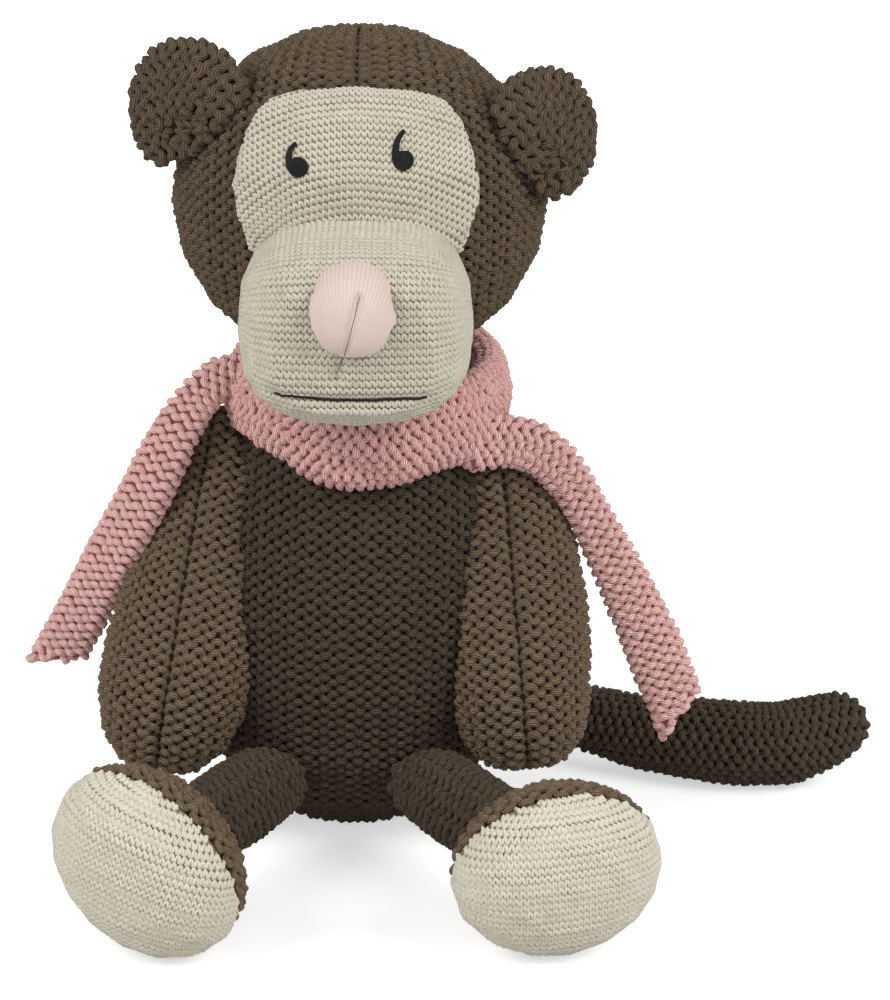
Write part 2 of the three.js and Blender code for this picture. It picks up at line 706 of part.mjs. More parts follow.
const tailSwell = swellOf(TAIL_TAPER, TAIL_FULLNESS);
const tailRings = 14;
const tailTurns = Array.from({ length: tailRings + 1 }, (_, index) => (Math.PI * index) / tailRings);
const tailLie = TAIL_RADIUS * Math.max(...tailTurns.map(tailSwell)) - REST_FLAT;
const rumpAngle = Math.acos(1 - (2 * (TAIL_ROOT_HEIGHT + SEAT_PRESS)) / BODY_HEIGHT);
const rumpHalfDepth = BODY_HALF_DEPTH * bodyForm.swell(rumpAngle);
const rumpHalfWidth = BODY_HALF_WIDTH * bodyForm.swell(rumpAngle);
const rumpBack = rumpHalfDepth * Math.sqrt(1 - (TAIL_ROOT_SIDE / rumpHalfWidth) ** 2);
const tailRoot = point(TAIL_ROOT_SIDE, rumpBack - TAIL_SINK, TAIL_ROOT_HEIGHT);
const tailLying = TAIL_ROUTE.map(([side, back]) => point(tailRoot.x + side, tailRoot.y + back, tailLie));
tailLying.at(0).z += TAIL_TIP_LIFT;
tailLying.at(-1).z += TAIL_TIP_LIFT;
const tailForm = bag({
  spine: new THREE.CatmullRomCurve3([tailRoot, ...tailLying]),
  across: Z,
  half: [TAIL_RADIUS, TAIL_RADIUS],
  taper: TAIL_TAPER,
  fullness: TAIL_FULLNESS,
  sides: 10,
  rings: tailRings,
});
const tailJoint = hinge(tailRoot, Z, -TAIL_SWING, TAIL_SWING);
const onRump = (solid) => mainBody(clearedWhileSwinging(solid.subtract(FLOOR), bodyObstacle, tailJoint));

// Scarf ends

function scarfEnd(side, rise, back, fall, armPart) {
  const start = wrapMiddle.clone().add(point(side * WRAP_HALF_WIDTH, back, rise));
  const fallen = fall.map(([out, down]) => start.clone().add(point(side * out, 0, -down)));
  const form = bag({
    spine: new THREE.CatmullRomCurve3([start, ...fallen]),
    across: Y,
    half: [SCARF_HALF_THICKNESS, SCARF_HALF_WIDTH],
    fullness: SCARF_FULLNESS,
    sides: 8,
    rings: 12,
  });
  const joint = hinge(start, Y.clone().multiplyScalar(-side), 0, SCARF_SWING);
  const clearOfTorso = clearedWhileSwinging(bagSolid(form), torsoObstacle, joint);
  const clearOfHead = clearedOfSwing(clearOfTorso, turningHead, headTurn);
  return { pivot: start, solid: mainBody(clearedOfSwing(clearOfHead, armPart.obstacle, armPart.joint)) };
}

const leftScarfEnd = scarfEnd(1, LEFT_SCARF_RISE, LEFT_SCARF_BACK, LEFT_SCARF_FALL, leftArm);
const rightScarfEnd = scarfEnd(-1, RIGHT_SCARF_RISE, RIGHT_SCARF_BACK, RIGHT_SCARF_FALL, rightArm);

// The finished toy

const BROWN_KNIT = { color: 0x60533f, roughness: 0.95 };
const BEIGE_KNIT = { color: 0xc6bfab, roughness: 0.95 };
const PALE_JERSEY = { color: 0xdfcec6, roughness: 0.9 };
const PINK_KNIT = { color: 0xd5ada8, roughness: 0.95 };
const BLACK_THREAD = { color: 0x1b1a19, roughness: 0.7 };
const WHITE_FIBRE = { color: 0xe8e6e0, roughness: 1 };
const CLEAR_PLASTIC = { color: 0xd9dde0, roughness: 0.35 };
const REED_PLASTIC = { color: 0xf2f2ee, roughness: 0.3 };

// Each part that bends at a seam is a group whose own origin is the seam's pivot
function seamGroup(parent, pivot) {
  const group = new THREE.Group();
  group.userData.pivot = pivot;
  group.position.copy(pivot);
  if (parent) {
    group.position.sub(parent.userData.pivot);
    parent.add(group);
  }
  return group;
}

function addPiece(group, name, solid, look) {
  const { x, y, z } = group.userData.pivot;
  const geometry = toGeometry(solid.translate([-x, -y, -z]));
  const mesh = new THREE.Mesh(geometry, new THREE.MeshStandardMaterial({ metalness: 0, ...look }));
  mesh.name = name;
  group.add(mesh);
}

const monkey = seamGroup(null, point(0, 0, 0));
addPiece(monkey, "body_cover", cover(bodyForm, CHUNKY_KNIT).subtract(FLOOR).subtract(neckPlug()), BROWN_KNIT);
addPiece(monkey, "body_stuffing_front", bodyFilling.intersect(frontHalf), WHITE_FIBRE);
addPiece(monkey, "body_stuffing_back", bodyFilling.intersect(backHalf), WHITE_FIBRE);
addPiece(monkey, "squeaker_bulb", atSqueaker(squeakerBulb), CLEAR_PLASTIC);
addPiece(monkey, "squeaker_reed", atSqueaker(frontLathe(reedProfile)), REED_PLASTIC);
addPiece(monkey, "scarf_wrap", scarfWrap, PINK_KNIT);

const head = seamGroup(monkey, neck);
addPiece(head, "head_cover", onNeck(cover(headForm, CHUNKY_KNIT)), BROWN_KNIT);
addPiece(head, "head_stuffing", onNeck(filling(headForm, CHUNKY_KNIT)), WHITE_FIBRE);
addPiece(head, "brow_panel", mainBody(browPanel), BEIGE_KNIT);
addPiece(head, "muzzle_cover", onHead(cover(muzzleForm, FINE_KNIT)), BEIGE_KNIT);
addPiece(head, "muzzle_stuffing", onHead(filling(muzzleForm, FINE_KNIT)), WHITE_FIBRE);
addPiece(head, "nose_cover", onMuzzle(cover(noseForm, JERSEY)), PALE_JERSEY);
addPiece(head, "nose_stuffing", onMuzzle(filling(noseForm, JERSEY)), WHITE_FIBRE);
addPiece(head, "nose_stitch", noseStitch(), BLACK_THREAD);
addPiece(head, "mouth_stitch", mouthStitch(), BLACK_THREAD);
addPiece(head, "left_eye", eyeStitch(LEFT_EYE_SPREAD, LEFT_EYE_RISE), BLACK_THREAD);
addPiece(head, "right_eye", eyeStitch(-RIGHT_EYE_SPREAD, RIGHT_EYE_RISE), BLACK_THREAD);

const sides = [
  { name: "left", ear: leftEar, arm: leftArm, leg: leftLeg, scarf: leftScarfEnd },
  { name: "right", ear: rightEar, arm: rightArm, leg: rightLeg, scarf: rightScarfEnd },
];
for (const { name, ear: earPart, arm: armPart, leg: legPart, scarf } of sides) {
  const earGroup = seamGroup(head, earPart.pivot);
  addPiece(earGroup, `${name}_ear_cover`, earPart.cover, BROWN_KNIT);
  addPiece(earGroup, `${name}_ear_stuffing`, earPart.stuffing, WHITE_FIBRE);

  const armGroup = seamGroup(monkey, armPart.pivot);
  addPiece(armGroup, `${name}_arm_cover`, armPart.cover, BROWN_KNIT);
  addPiece(armGroup, `${name}_arm_stuffing`, armPart.stuffing, WHITE_FIBRE);

  const legGroup = seamGroup(monkey, legPart.pivot);
  addPiece(legGroup, `${name}_leg_cover`, legPart.cover, BROWN_KNIT);
  addPiece(legGroup, `${name}_leg_stuffing`, legPart.stuffing, WHITE_FIBRE);
  addPiece(legGroup, `${name}_foot_cover`, legPart.footCover, BROWN_KNIT);
  addPiece(legGroup, `${name}_foot_stuffing`, legPart.footStuffing, WHITE_FIBRE);
  addPiece(legGroup, `${name}_sole`, legPart.sole, BEIGE_KNIT);

  const scarfGroup = seamGroup(monkey, scarf.pivot);
  addPiece(scarfGroup, `${name}_scarf_end`, scarf.solid, PINK_KNIT);
}

const tail = seamGroup(monkey, tailRoot);
addPiece(tail, "tail_cover", onRump(cover(tailForm, CHUNKY_KNIT)), BROWN_KNIT);
addPiece(tail, "tail_stuffing", onRump(filling(tailForm, CHUNKY_KNIT)), WHITE_FIBRE);

export default monkey;
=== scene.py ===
import math

import bmesh
import bpy
import numpy as np
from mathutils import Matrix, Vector
from mathutils.bvhtree import BVHTree


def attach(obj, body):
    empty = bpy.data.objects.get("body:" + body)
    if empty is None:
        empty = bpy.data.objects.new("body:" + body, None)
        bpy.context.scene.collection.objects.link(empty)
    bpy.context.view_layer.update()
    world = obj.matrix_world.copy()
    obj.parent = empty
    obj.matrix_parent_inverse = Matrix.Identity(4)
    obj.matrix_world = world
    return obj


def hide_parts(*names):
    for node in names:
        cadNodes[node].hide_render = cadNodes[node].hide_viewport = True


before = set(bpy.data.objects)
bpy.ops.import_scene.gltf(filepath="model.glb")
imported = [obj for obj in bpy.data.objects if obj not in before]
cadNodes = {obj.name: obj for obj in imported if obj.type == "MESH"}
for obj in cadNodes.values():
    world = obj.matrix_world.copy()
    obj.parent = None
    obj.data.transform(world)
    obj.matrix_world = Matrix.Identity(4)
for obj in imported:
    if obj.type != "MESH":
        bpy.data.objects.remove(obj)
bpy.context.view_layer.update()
scene = bpy.context.scene
mm = 0.001
print("frame loaded,", len(cadNodes), "solids")

# camera at the photograph's angle
shot = dict(aim=(33, 0, 112), distance=1100, elevation=18, focal=3234, frameHeight=1000,
            sensor=36, clip=20)
aim = Vector(shot["aim"]) * mm
tilt = math.radians(shot["elevation"])
camera = bpy.data.objects.new("camera", bpy.data.cameras.new("camera"))
camera.data.sensor_width = shot["sensor"]
camera.data.lens = shot["focal"] / shot["frameHeight"] * shot["sensor"]
camera.data.clip_end = shot["clip"]
camera.location = aim + Vector((0, -math.cos(tilt), math.sin(tilt))) * shot["distance"] * mm
camera.rotation_euler = (aim - camera.location).to_track_quat("-Z", "Y").to_euler()
scene.collection.objects.link(camera)
scene.camera = camera
scene.view_settings.view_transform = "Standard"


# small helpers for node trees
def feed(target, value):
    if isinstance(value, bpy.types.NodeSocket):
        target.id_data.links.new(value, target)
    else:
        target.default_value = value


def setSockets(node, **values):
    for name, value in values.items():
        feed(node.inputs[name.replace("_", " ")], value)


def put(tree, kind, settings=None, **values):
    node = tree.nodes.new(kind)
    for name, value in (settings or {}).items():
        setattr(node, name, value)
    setSockets(node, **values)
    return node


def calc(operation, *values, kind="Math", give=0):
    tree = next(v.id_data for v in values if isinstance(v, bpy.types.NodeSocket))
    node = put(tree, "ShaderNode" + kind, {"operation": operation})
    for target, value in zip(node.inputs, values):
        feed(target, value)
    return node.outputs[give]


def vecCalc(operation, *values, give="Vector"):
    return calc(operation, *values, kind="VectorMath", give=give)


def scaled(vector, amount):
    settings = {"operation": "SCALE"}
    node = put(vector.id_data, "ShaderNodeVectorMath", settings, Vector=vector, Scale=amount)
    return node.outputs[0]


def blendColor(amount, low, high):
    node = put(amount.id_data, "ShaderNodeMix", {"data_type": "RGBA"}, Factor=amount)
    feed(node.inputs[6], low)  # colour A
    feed(node.inputs[7], high)  # colour B
    return node.outputs[2]


def marking(tree, name, part="Fac"):
    return put(tree, "ShaderNodeAttribute", {"attribute_name": name}).outputs[part]


def objectPlace(tree):
    return tree.nodes.new("ShaderNodeTexCoord").outputs["Object"]


def srgb(*levels):
    shares = [level / 255 for level in levels]
    return (*(s / 12.92 if s < 0.04 else ((s + 0.055) / 1.055) ** 2.4 for s in shares), 1)


# shader groups shared by the yarns
def shaderGroup(name, inputs, outputs):
    tree = bpy.data.node_groups.new(name, "ShaderNodeTree")
    for label, value in inputs.items():
        socket = tree.interface.new_socket(label, in_out="INPUT", socket_type="NodeSocketFloat")
        socket.default_value = value
    for label in outputs:
        tree.interface.new_socket(label, in_out="OUTPUT", socket_type="NodeSocketFloat")
    return tree, tree.nodes.new("NodeGroupInput").outputs, tree.nodes.new("NodeGroupOutput")


def twistGroup():
    tree, come, out = shaderGroup("yarn twist", {"Plies": 4.0, "Lay": 0.008}, ("Height", "Groove"))
    parts = put(tree, "ShaderNodeSeparateXYZ", Vector=marking(tree, "yarnAround", "Vector")).outputs
    angle = calc("ARCTAN2", parts[1], parts[0])
    lays = calc("DIVIDE", marking(tree, "yarnAlong"), come["Lay"])
    away = calc("SUBTRACT", angle, calc("MULTIPLY", lays, 2 * math.pi))
    phase = calc("MULTIPLY", away, calc("MULTIPLY", come["Plies"], 0.5))
    crown = calc("ABSOLUTE", calc("COSINE", phase))
    # Groove marks where the plies meet; it is used to paint shade there
    groove = calc("POWER", calc("SUBTRACT", 1.0, crown), 2.0)
    setSockets(out, Height=calc("POWER", crown, 0.6), Groove=groove)
    return tree


def heatherGroup():
    sizes = {"Cloud size": 0.006, "Fleck size": 0.0011}
    tree, come, out = shaderGroup("heather", sizes, ("Cloud", "Fleck", "Grain"))
    place = objectPlace(tree)
    for name in ("Cloud", "Fleck"):
        scale = calc("DIVIDE", 1.0, come[name + " size"])
        noise = put(tree, "ShaderNodeTexNoise", Vector=place, Scale=scale, Detail=3.0)
        feed(out.inputs[name], noise.outputs[0])
    grain = put(tree, "ShaderNodeTexNoise", Vector=place, Scale=3600.0, Detail=2.0)
    feed(out.inputs["Grain"], grain.outputs[0])
    return tree


twist = twistGroup()
heather = heatherGroup()


def newMaterial(name):
    material = bpy.data.materials.new(name)
    material.use_nodes = True
    tree = material.node_tree
    return material, tree, tree.nodes["Principled BSDF"]


def groupIn(tree, group, **values):
    return put(tree, "ShaderNodeGroup", {"node_tree": group}, **values).outputs


def matt(shader, color, roughness, specular, height, strength, depth):
    bump = put(height.id_data, "ShaderNodeBump", Strength=strength, Distance=depth, Height=height)
    setSockets(shader, Base_Color=color, Roughness=roughness, Specular_IOR_Level=specular,
               Normal=bump.outputs[0])


yarnUsual = dict(plies=9, lay=0.026, cloud=0.003, fleck=0.0008, fleckFrom=0.56, grain=0.5, sheen=0.12,
                 sheenRoughness=0.5, roughness=0.92, specular=0.15, bump=1.0)


def yarnMaterial(name, look):
    material, tree, shader = newMaterial(name)
    look = dict(yarnUsual, **look)
    ply = groupIn(tree, twist, Plies=look["plies"], Lay=look["lay"])
    mix = groupIn(tree, heather, Cloud_size=look["cloud"], Fleck_size=look["fleck"])
    color = blendColor(mix["Cloud"], srgb(*look["dark"]), srgb(*look["light"]))
    bits = calc("GREATER_THAN", mix["Fleck"], look["fleckFrom"])
    bits = calc("MULTIPLY", bits, look["fleckShare"])
    color = blendColor(bits, color, srgb(*look["fleckColor"]))
    # painted shade: the ply grooves are darkened towards the deep colour
    groove = calc("MULTIPLY", ply["Groove"], look["groove"])
    color = blendColor(groove, color, srgb(*look["deep"]))
    grain = calc("MULTIPLY", mix["Grain"], look["grain"])
    matt(shader, color, look["roughness"], look["specular"],
         calc("ADD", ply["Height"], grain), look["bump"], look["bumpDepth"])
    setSockets(shader, Sheen_Weight=look["sheen"], Sheen_Roughness=look["sheenRoughness"],
               Sheen_Tint=srgb(*look["light"]))
    return material


def plainCloth(name, color, other, size, bumpDepth=0.0003):
    material, tree, shader = newMaterial(name)
    noise = put(tree, "ShaderNodeTexNoise", Vector=objectPlace(tree), Scale=1 / size, Detail=4.0)
    height = noise.outputs[0]
    color = blendColor(height, srgb(*color), srgb(*other))
    matt(shader, color, 0.95, 0.1, height, 0.6, bumpDepth)
    return material


# painted light and shade: lighter or darker copies of one yarn's colours, standing in for the light
# each part gets
def paintedLightCopy(look, *shares):
    colors = ("dark", "light", "deep", "fleckColor")
    return dict(look, **{key: np.multiply(look[key], shares) for key in colors})


# deep is the painted shade colour in the ply grooves, groove how strongly it is painted
brownLook = dict(
    dark=(97, 83, 66), light=(143, 125, 103), deep=(32, 24, 16), fleckColor=(160, 127, 94),
    fleckShare=0.4, cloud=0.0025, groove=0.75, bumpDepth=0.0005,
)
pinkLook = dict(
    dark=(226, 167, 162), light=(245, 199, 193), deep=(158, 97, 94), fleckColor=(246, 214, 208),
    fleckShare=0.35, groove=0.6, bumpDepth=0.0004,
)
beigeLook = dict(
    dark=(188, 181, 163), light=(210, 204, 188), deep=(150, 141, 121), fleckColor=(220, 214, 199),
    fleckShare=0.25, plies=5, lay=0.012, cloud=0.005, fleck=0.0006, groove=0.25, sheen=0.08,
    bump=0.5, bumpDepth=0.00022,
)
# painted light: the soles get a lighter copy of the beige yarn's colours
litSoleLook = dict(beigeLook, dark=(202, 195, 177), light=(222, 216, 200), fleckColor=(230, 224, 210))
blackLook = dict(
    dark=(22, 23, 22), light=(40, 41, 40), deep=(8, 8, 8), fleckColor=(52, 53, 52), fleckShare=0.2,
    plies=2, lay=0.0016, fleck=0.0006, groove=0.5, sheen=0.05, bump=0.6, bumpDepth=0.00012,
)
# painted shade: the crease thread is coloured as the shade in the nose and chin creases
shadedCreaseLook = dict(blackLook, dark=(132, 106, 98), light=(150, 122, 113), deep=(104, 80, 73))
brownYarn = yarnMaterial("brownYarn", brownLook)
# painted shade: the body, legs and tail get a darker copy of the brown yarn
duskYarn = yarnMaterial("duskYarn", paintedLightCopy(brownLook, 0.685, 0.7, 0.7))
# painted shade: the head gets a darker copy of the brown yarn
headYarn = yarnMaterial("headYarn", paintedLightCopy(brownLook, 0.86))
# painted shade: the ears get a darker copy of the brown yarn
earYarn = yarnMaterial("earYarn", paintedLightCopy(brownLook, 0.78))
pinkYarn = yarnMaterial("pinkYarn", pinkLook)
# painted light: the scarf ends get a lighter copy of the scarf's pink yarn
scarfEndYarn = yarnMaterial("scarfEndYarn", paintedLightCopy(pinkLook, 1.03, 1.05, 1.05))
beigeYarn = yarnMaterial("beigeYarn", beigeLook)
soleYarn = yarnMaterial("soleYarn", litSoleLook)
blackThread = yarnMaterial("blackThread", blackLook)
duskThread = yarnMaterial("duskThread", shadedCreaseLook)
# painted shade: dark cloths on the forms under the knitting, seen through its gaps as the shade
# between the stitches
brownShade = plainCloth("brownBacking", (30, 24, 18), (42, 35, 26), 0.003)
pinkShade = plainCloth("pinkBacking", (128, 76, 74), (148, 92, 89), 0.003)
beigeShade = plainCloth("beigeBacking", (116, 105, 85), (134, 123, 102), 0.002)
fibreWhite = plainCloth("fibreFill", (232, 230, 224), (246, 245, 241), 0.004, 0.001)
print("materials made")


# geometry nodes tree that turns courses into yarn
def geo(tree, kind, settings=None, **values):
    return put(tree, "GeometryNode" + kind, settings, **values).outputs[0]


def named(tree, name, kind="FLOAT_VECTOR"):
    return geo(tree, "InputNamedAttribute", {"data_type": kind}, Name=name)


def store(tree, geometry, name, value, kind="FLOAT_VECTOR"):
    settings = {"data_type": kind, "domain": "POINT"}
    return geo(tree, "StoreNamedAttribute", settings, Geometry=geometry, Name=name, Value=value)


gaugeInputs = {  # key in a gauge, unit
    "Sway": ("sway", mm), "Yarn radius": ("radius", mm), "Sharpness": ("sharpness", 1),
    "Slant": ("slant", mm), "Hump": ("hump", mm), "Unevenness": ("uneven", mm),
    "Flatness": ("flat", 1), "Sides": ("sides", 1),
}
knitInputs = {
    "Geometry": "Geometry", **dict.fromkeys(gaugeInputs, "Float"), "Sides": "Int",
    "Yarn": "Material", "Backing": "Object", "Backing cloth": "Material",
}
knitNoise = dict(Scale=230.0, Detail=1.0)
plumper = 0.3  # short rounds sway less, so their yarn fills more


def knitTree():
    tree = bpy.data.node_groups.new("knit courses", "GeometryNodeTree")
    for name, kind in knitInputs.items():
        tree.interface.new_socket(name, in_out="INPUT", socket_type="NodeSocket" + kind)
    tree.interface.new_socket("Geometry", in_out="OUTPUT", socket_type="NodeSocketGeometry")
    come = tree.nodes.new("NodeGroupInput").outputs
    spot = geo(tree, "InputPosition")
    upWay, outWay = named(tree, "upWay"), named(tree, "outWay")
    phase, room = named(tree, "phase", "FLOAT"), named(tree, "room", "FLOAT")
    turn = calc("MULTIPLY", phase, 2 * math.pi)
    wave = calc("COSINE", turn)
    bend = calc("POWER", calc("ABSOLUTE", wave), come["Sharpness"])
    shaped = calc("MULTIPLY", calc("SIGN", wave), bend)
    double = calc("COSINE", calc("MULTIPLY", turn, 2.0))
    saw = calc("SUBTRACT", calc("FRACT", calc("ADD", phase, 0.001)), 0.5)
    slanted = calc("MULTIPLY", saw, come["Slant"])
    rise = calc("MULTIPLY_ADD", shaped, come["Sway"], slanted)
    rise = calc("MULTIPLY", rise, room)
    proud = calc("MULTIPLY", calc("MULTIPLY", double, come["Hump"]), room)
    noise = put(tree, "ShaderNodeTexNoise", Vector=spot, **knitNoise)
    jitter = vecCalc("SUBTRACT", noise.outputs["Color"], (0.5, 0.5, 0.5))
    move = vecCalc("ADD", scaled(upWay, rise), scaled(outWay, proud))
    move = vecCalc("ADD", move, scaled(jitter, come["Unevenness"]))
    waved = geo(tree, "SetPosition", Geometry=come["Geometry"], Offset=move)
    plump = calc("MULTIPLY_ADD", room, -plumper, 1 + plumper)
    line = geo(tree, "SetCurveRadius", Curve=geo(tree, "MeshToCurve", Mesh=waved), Radius=plump)
    length = tree.nodes.new("GeometryNodeSplineParameter").outputs["Length"]
    line = store(tree, line, "yarnAlong", length, "FLOAT")
    line = store(tree, line, "core", spot)
    ring = geo(tree, "CurvePrimitiveCircle", Resolution=come["Sides"], Radius=come["Yarn radius"])
    ring = store(tree, ring, "yarnAround", vecCalc("NORMALIZE", spot))
    tube = geo(tree, "CurveToMesh", Curve=line, Profile_Curve=ring, Fill_Caps=True)
    away = vecCalc("SUBTRACT", spot, named(tree, "core"))
    height = vecCalc("DOT_PRODUCT", away, outWay, give="Value")
    lower = calc("MULTIPLY", calc("MULTIPLY", height, come["Flatness"]), -1.0)
    tube = geo(tree, "SetPosition", Geometry=tube, Offset=scaled(outWay, lower))
    tube = geo(tree, "SetShadeSmooth", Geometry=tube)
    # the backing form gets a painted shade cloth, seen through the gaps between the yarn
    backing = put(tree, "GeometryNodeObjectInfo", Object=come["Backing"]).outputs["Geometry"]
    both = tree.nodes.new("GeometryNodeJoinGeometry")
    for part, cloth in ((tube, come["Yarn"]), (backing, come["Backing cloth"])):
        part = geo(tree, "SetMaterial", Geometry=part, Material=cloth)
        tree.links.new(part, both.inputs[0])
    real = geo(tree, "RealizeInstances", Geometry=both.outputs[0])
    feed(tree.nodes.new("NodeGroupOutput").inputs["Geometry"], real)
    return tree


knit = knitTree()


# helpers for meshes and lines of points
def cadName(name):
    return "".join("_" + c.lower() if c.isupper() else c for c in name)


def addObject(name, mesh):
    piece = bpy.data.objects.new(name, mesh)
    scene.collection.objects.link(piece)
    return piece


def addBuilt(name, build):
    mesh = bpy.data.meshes.new(name)
    build.to_mesh(mesh)
    build.free()
    return addObject(name, mesh)


def finished(piece):
    graph = bpy.context.evaluated_depsgraph_get()
    mesh = bpy.data.meshes.new_from_object(piece.evaluated_get(graph))
    piece.modifiers.clear()
    old = piece.data
    piece.data = mesh
    bpy.data.meshes.remove(old)
    mesh.name = piece.name
    return piece


def modified(piece, kind, **settings):
    modifier = piece.modifiers.new(kind.lower(), kind)
    for key, value in settings.items():
        setattr(modifier, key, value)
    return finished(piece)


def remesh(piece, voxel):
    return modified(piece, "REMESH", mode="VOXEL", voxel_size=voxel * mm)


def relax(piece, times):
    return modified(piece, "SMOOTH", iterations=times, factor=0.5)


def refine(piece):
    return modified(piece, "SUBSURF", levels=1, render_levels=1)


def paint(piece, *materials):
    piece.data.materials.clear()
    for material in materials:
        piece.data.materials.append(material)


def rowsOf(data, key):
    flat = np.empty(len(data) * 3, np.float32)
    data.foreach_get(key, flat)
    return flat.reshape(-1, 3).astype(float)


def coordsOf(piece):
    return rowsOf(piece.data.vertices, "co")


def normalsOf(piece):
    return rowsOf(piece.data.vertex_normals, "vector")


def setCoords(piece, coords):
    flat = np.ascontiguousarray(coords, np.float32).ravel()
    piece.data.vertices.foreach_set("co", flat)
    piece.data.update()
    return piece


def grow(piece, amount):
    return setCoords(piece, coordsOf(piece) + normalsOf(piece) * amount * mm)


def lengths(rows):
    return np.linalg.norm(rows, axis=-1, keepdims=True)


def unit(rows):
    return rows / np.maximum(lengths(rows), 1e-9)


def runOf(points):
    return np.concatenate([[0], np.cumsum(np.linalg.norm(np.diff(points, axis=0), axis=1))])


def ease(values, start, span):
    share = np.clip((values / mm - start) / span, 0, 1)
    return share**2 * (3 - 2 * share)


def smoothPath(points, steps=24):
    spots = [np.array(p, float) * mm for p in points]
    if len(spots) == 2:
        return np.linspace(spots[0], spots[1], steps)
    ends = [2 * spots[0] - spots[1], *spots, 2 * spots[-1] - spots[-2]]
    path = []
    for a, b, c, d in zip(ends, ends[1:], ends[2:], ends[3:]):
        for share in np.linspace(0, 1, steps, endpoint=False):
            path.append(0.5 * (2 * b + (c - a) * share + (2 * a - 5 * b + 4 * c - d) * share**2
                               + (3 * b - a - 3 * c + d) * share**3))
    return np.array([*path, spots[-1]])


def smoothRing(values, times):
    for _ in range(times):
        padded = np.concatenate([values[:1], values, values[-1:]])
        values = (padded[:-2] + 2 * padded[1:-1] + padded[2:]) / 4
    return values


def treeOf(piece):
    faces = [p.vertices for p in piece.data.polygons]
    return BVHTree.FromPolygons([v.co for v in piece.data.vertices], faces)


def depthIn(tree, place):
    near = tree.find_nearest(place)[3]
    way = Vector((0.31, 0.22, 0.925)).normalized()  # along no face
    start, crossings = place, 0
    while crossings < 30:
        spot = tree.ray_cast(start, way)[0]
        if spot is None:
            break
        crossings += 1
        start = spot + way * 2e-6
    return near if crossings % 2 else -near


# stuffed forms: copies of the solids, remeshed and swelled
def solidsOf(nodeNames):
    build = bmesh.new()
    for node in nodeNames:
        build.from_mesh(cadNodes[node].data)
    return build


def padOf(name, nodeNames, voxel, smooth, under=0):
    build = solidsOf(nodeNames)
    bmesh.ops.remove_doubles(build, verts=build.verts, dist=2e-6)
    return grow(relax(remesh(addBuilt(name, build), voxel), smooth), under)


padUsual = dict(voxel=4, smooth=4, pressure=1.6, cap=1.3, under=(1.7, 2.3))
padSettings = {
    "body": dict(nodes=("body_stuffing_front", "body_stuffing_back")),
    "head": dict(),
    "muzzle": dict(voxel=3.5, under=(0.8, 1.2)),
    "leftEar": dict(voxel=2.5, pressure=1.2),
    "rightEar": dict(voxel=2.5, pressure=1.2),
    "leftArm": dict(),
    "rightArm": dict(),
    "leftLeg": dict(voxel=3.5),
    "rightLeg": dict(voxel=3.5),
    "leftFoot": dict(skin=("left_foot_cover", "left_sole")),
    "rightFoot": dict(skin=("right_foot_cover", "right_sole")),
    "tail": dict(),
    "nose": dict(voxel=1.5, pressure=1.0, under=(0, 0.1)),
}
for name, setting in padSettings.items():
    solids = dict(nodes=(cadName(name) + "_stuffing",), skin=(cadName(name) + "_cover",))
    padSettings[name] = {**padUsual, **solids, **setting}
clothSettings = dict(quality=5, mass=0.15, tension_stiffness=20, compression_stiffness=20,
                     shear_stiffness=8, bending_stiffness=1.5, use_pressure=True)
swellFrames = 20


def swellPads(pads, settings):
    before = {name: coordsOf(pad) for name, pad in pads.items()}
    for name, pad in pads.items():
        cloth = pad.modifiers.new("swell", "CLOTH")
        for key, value in clothSettings.items():
            setattr(cloth.settings, key, value)
        cloth.settings.uniform_pressure_force = settings[name]["pressure"]
        cloth.settings.effector_weights.gravity = 0
        cloth.collision_settings.use_collision = False
        cloth.point_cache.frame_end = swellFrames
    for step in range(1, swellFrames + 1):
        scene.frame_set(step)
    graph = bpy.context.evaluated_depsgraph_get()
    for name, pad in pads.items():
        move = coordsOf(pad.evaluated_get(graph)) - before[name]
        move *= np.minimum(1, settings[name]["cap"] * mm / np.maximum(lengths(move), 1e-9))
        pad.modifiers.clear()
        setCoords(pad, before[name] + move)
        print("  swelled", name, "by %.2f mm on average" % (lengths(move).mean() / mm))
    scene.frame_set(1)


def settle(pad, nodeNames, shallow, deep, start=7 * mm):
    build = solidsOf(nodeNames)
    skin = BVHTree.FromBMesh(build)
    build.free()
    coords, normals = coordsOf(pad), normalsOf(pad)
    for i, (spot, normal) in enumerate(zip(coords, normals)):
        gap = skin.ray_cast(Vector(spot + normal * start), Vector(-normal), 2 * start)[3]
        if gap is not None:
            under = start - gap
            coords[i] += normal * (under - min(max(under, shallow * mm), deep * mm))
    return setCoords(pad, coords)


def pullIn(pad, line, depth, width):
    path = np.array(line, float) * mm
    spots = np.concatenate([np.linspace(a, b, 30) for a, b in zip(path, path[1:])])
    coords, normals = coordsOf(pad), normalsOf(pad)
    away = coords[:, None, (0, 2)] - spots[None, :, (0, 2)]
    flat = np.linalg.norm(away, axis=2).min(axis=1)
    share = np.exp(-((flat / (width * mm)) ** 2)) * (normals[:, 1] < 0.1)  # the front only
    return setCoords(pad, coords - normals * (share * depth * mm)[:, None])


pads = {}
for name, setting in padSettings.items():
    pads[name] = padOf(name + "Pad", setting["nodes"], setting["voxel"], setting["smooth"])
swellPads(pads, padSettings)
for name, pad in pads.items():
    relax(settle(refine(pad), padSettings[name]["skin"], *padSettings[name]["under"]), 1)

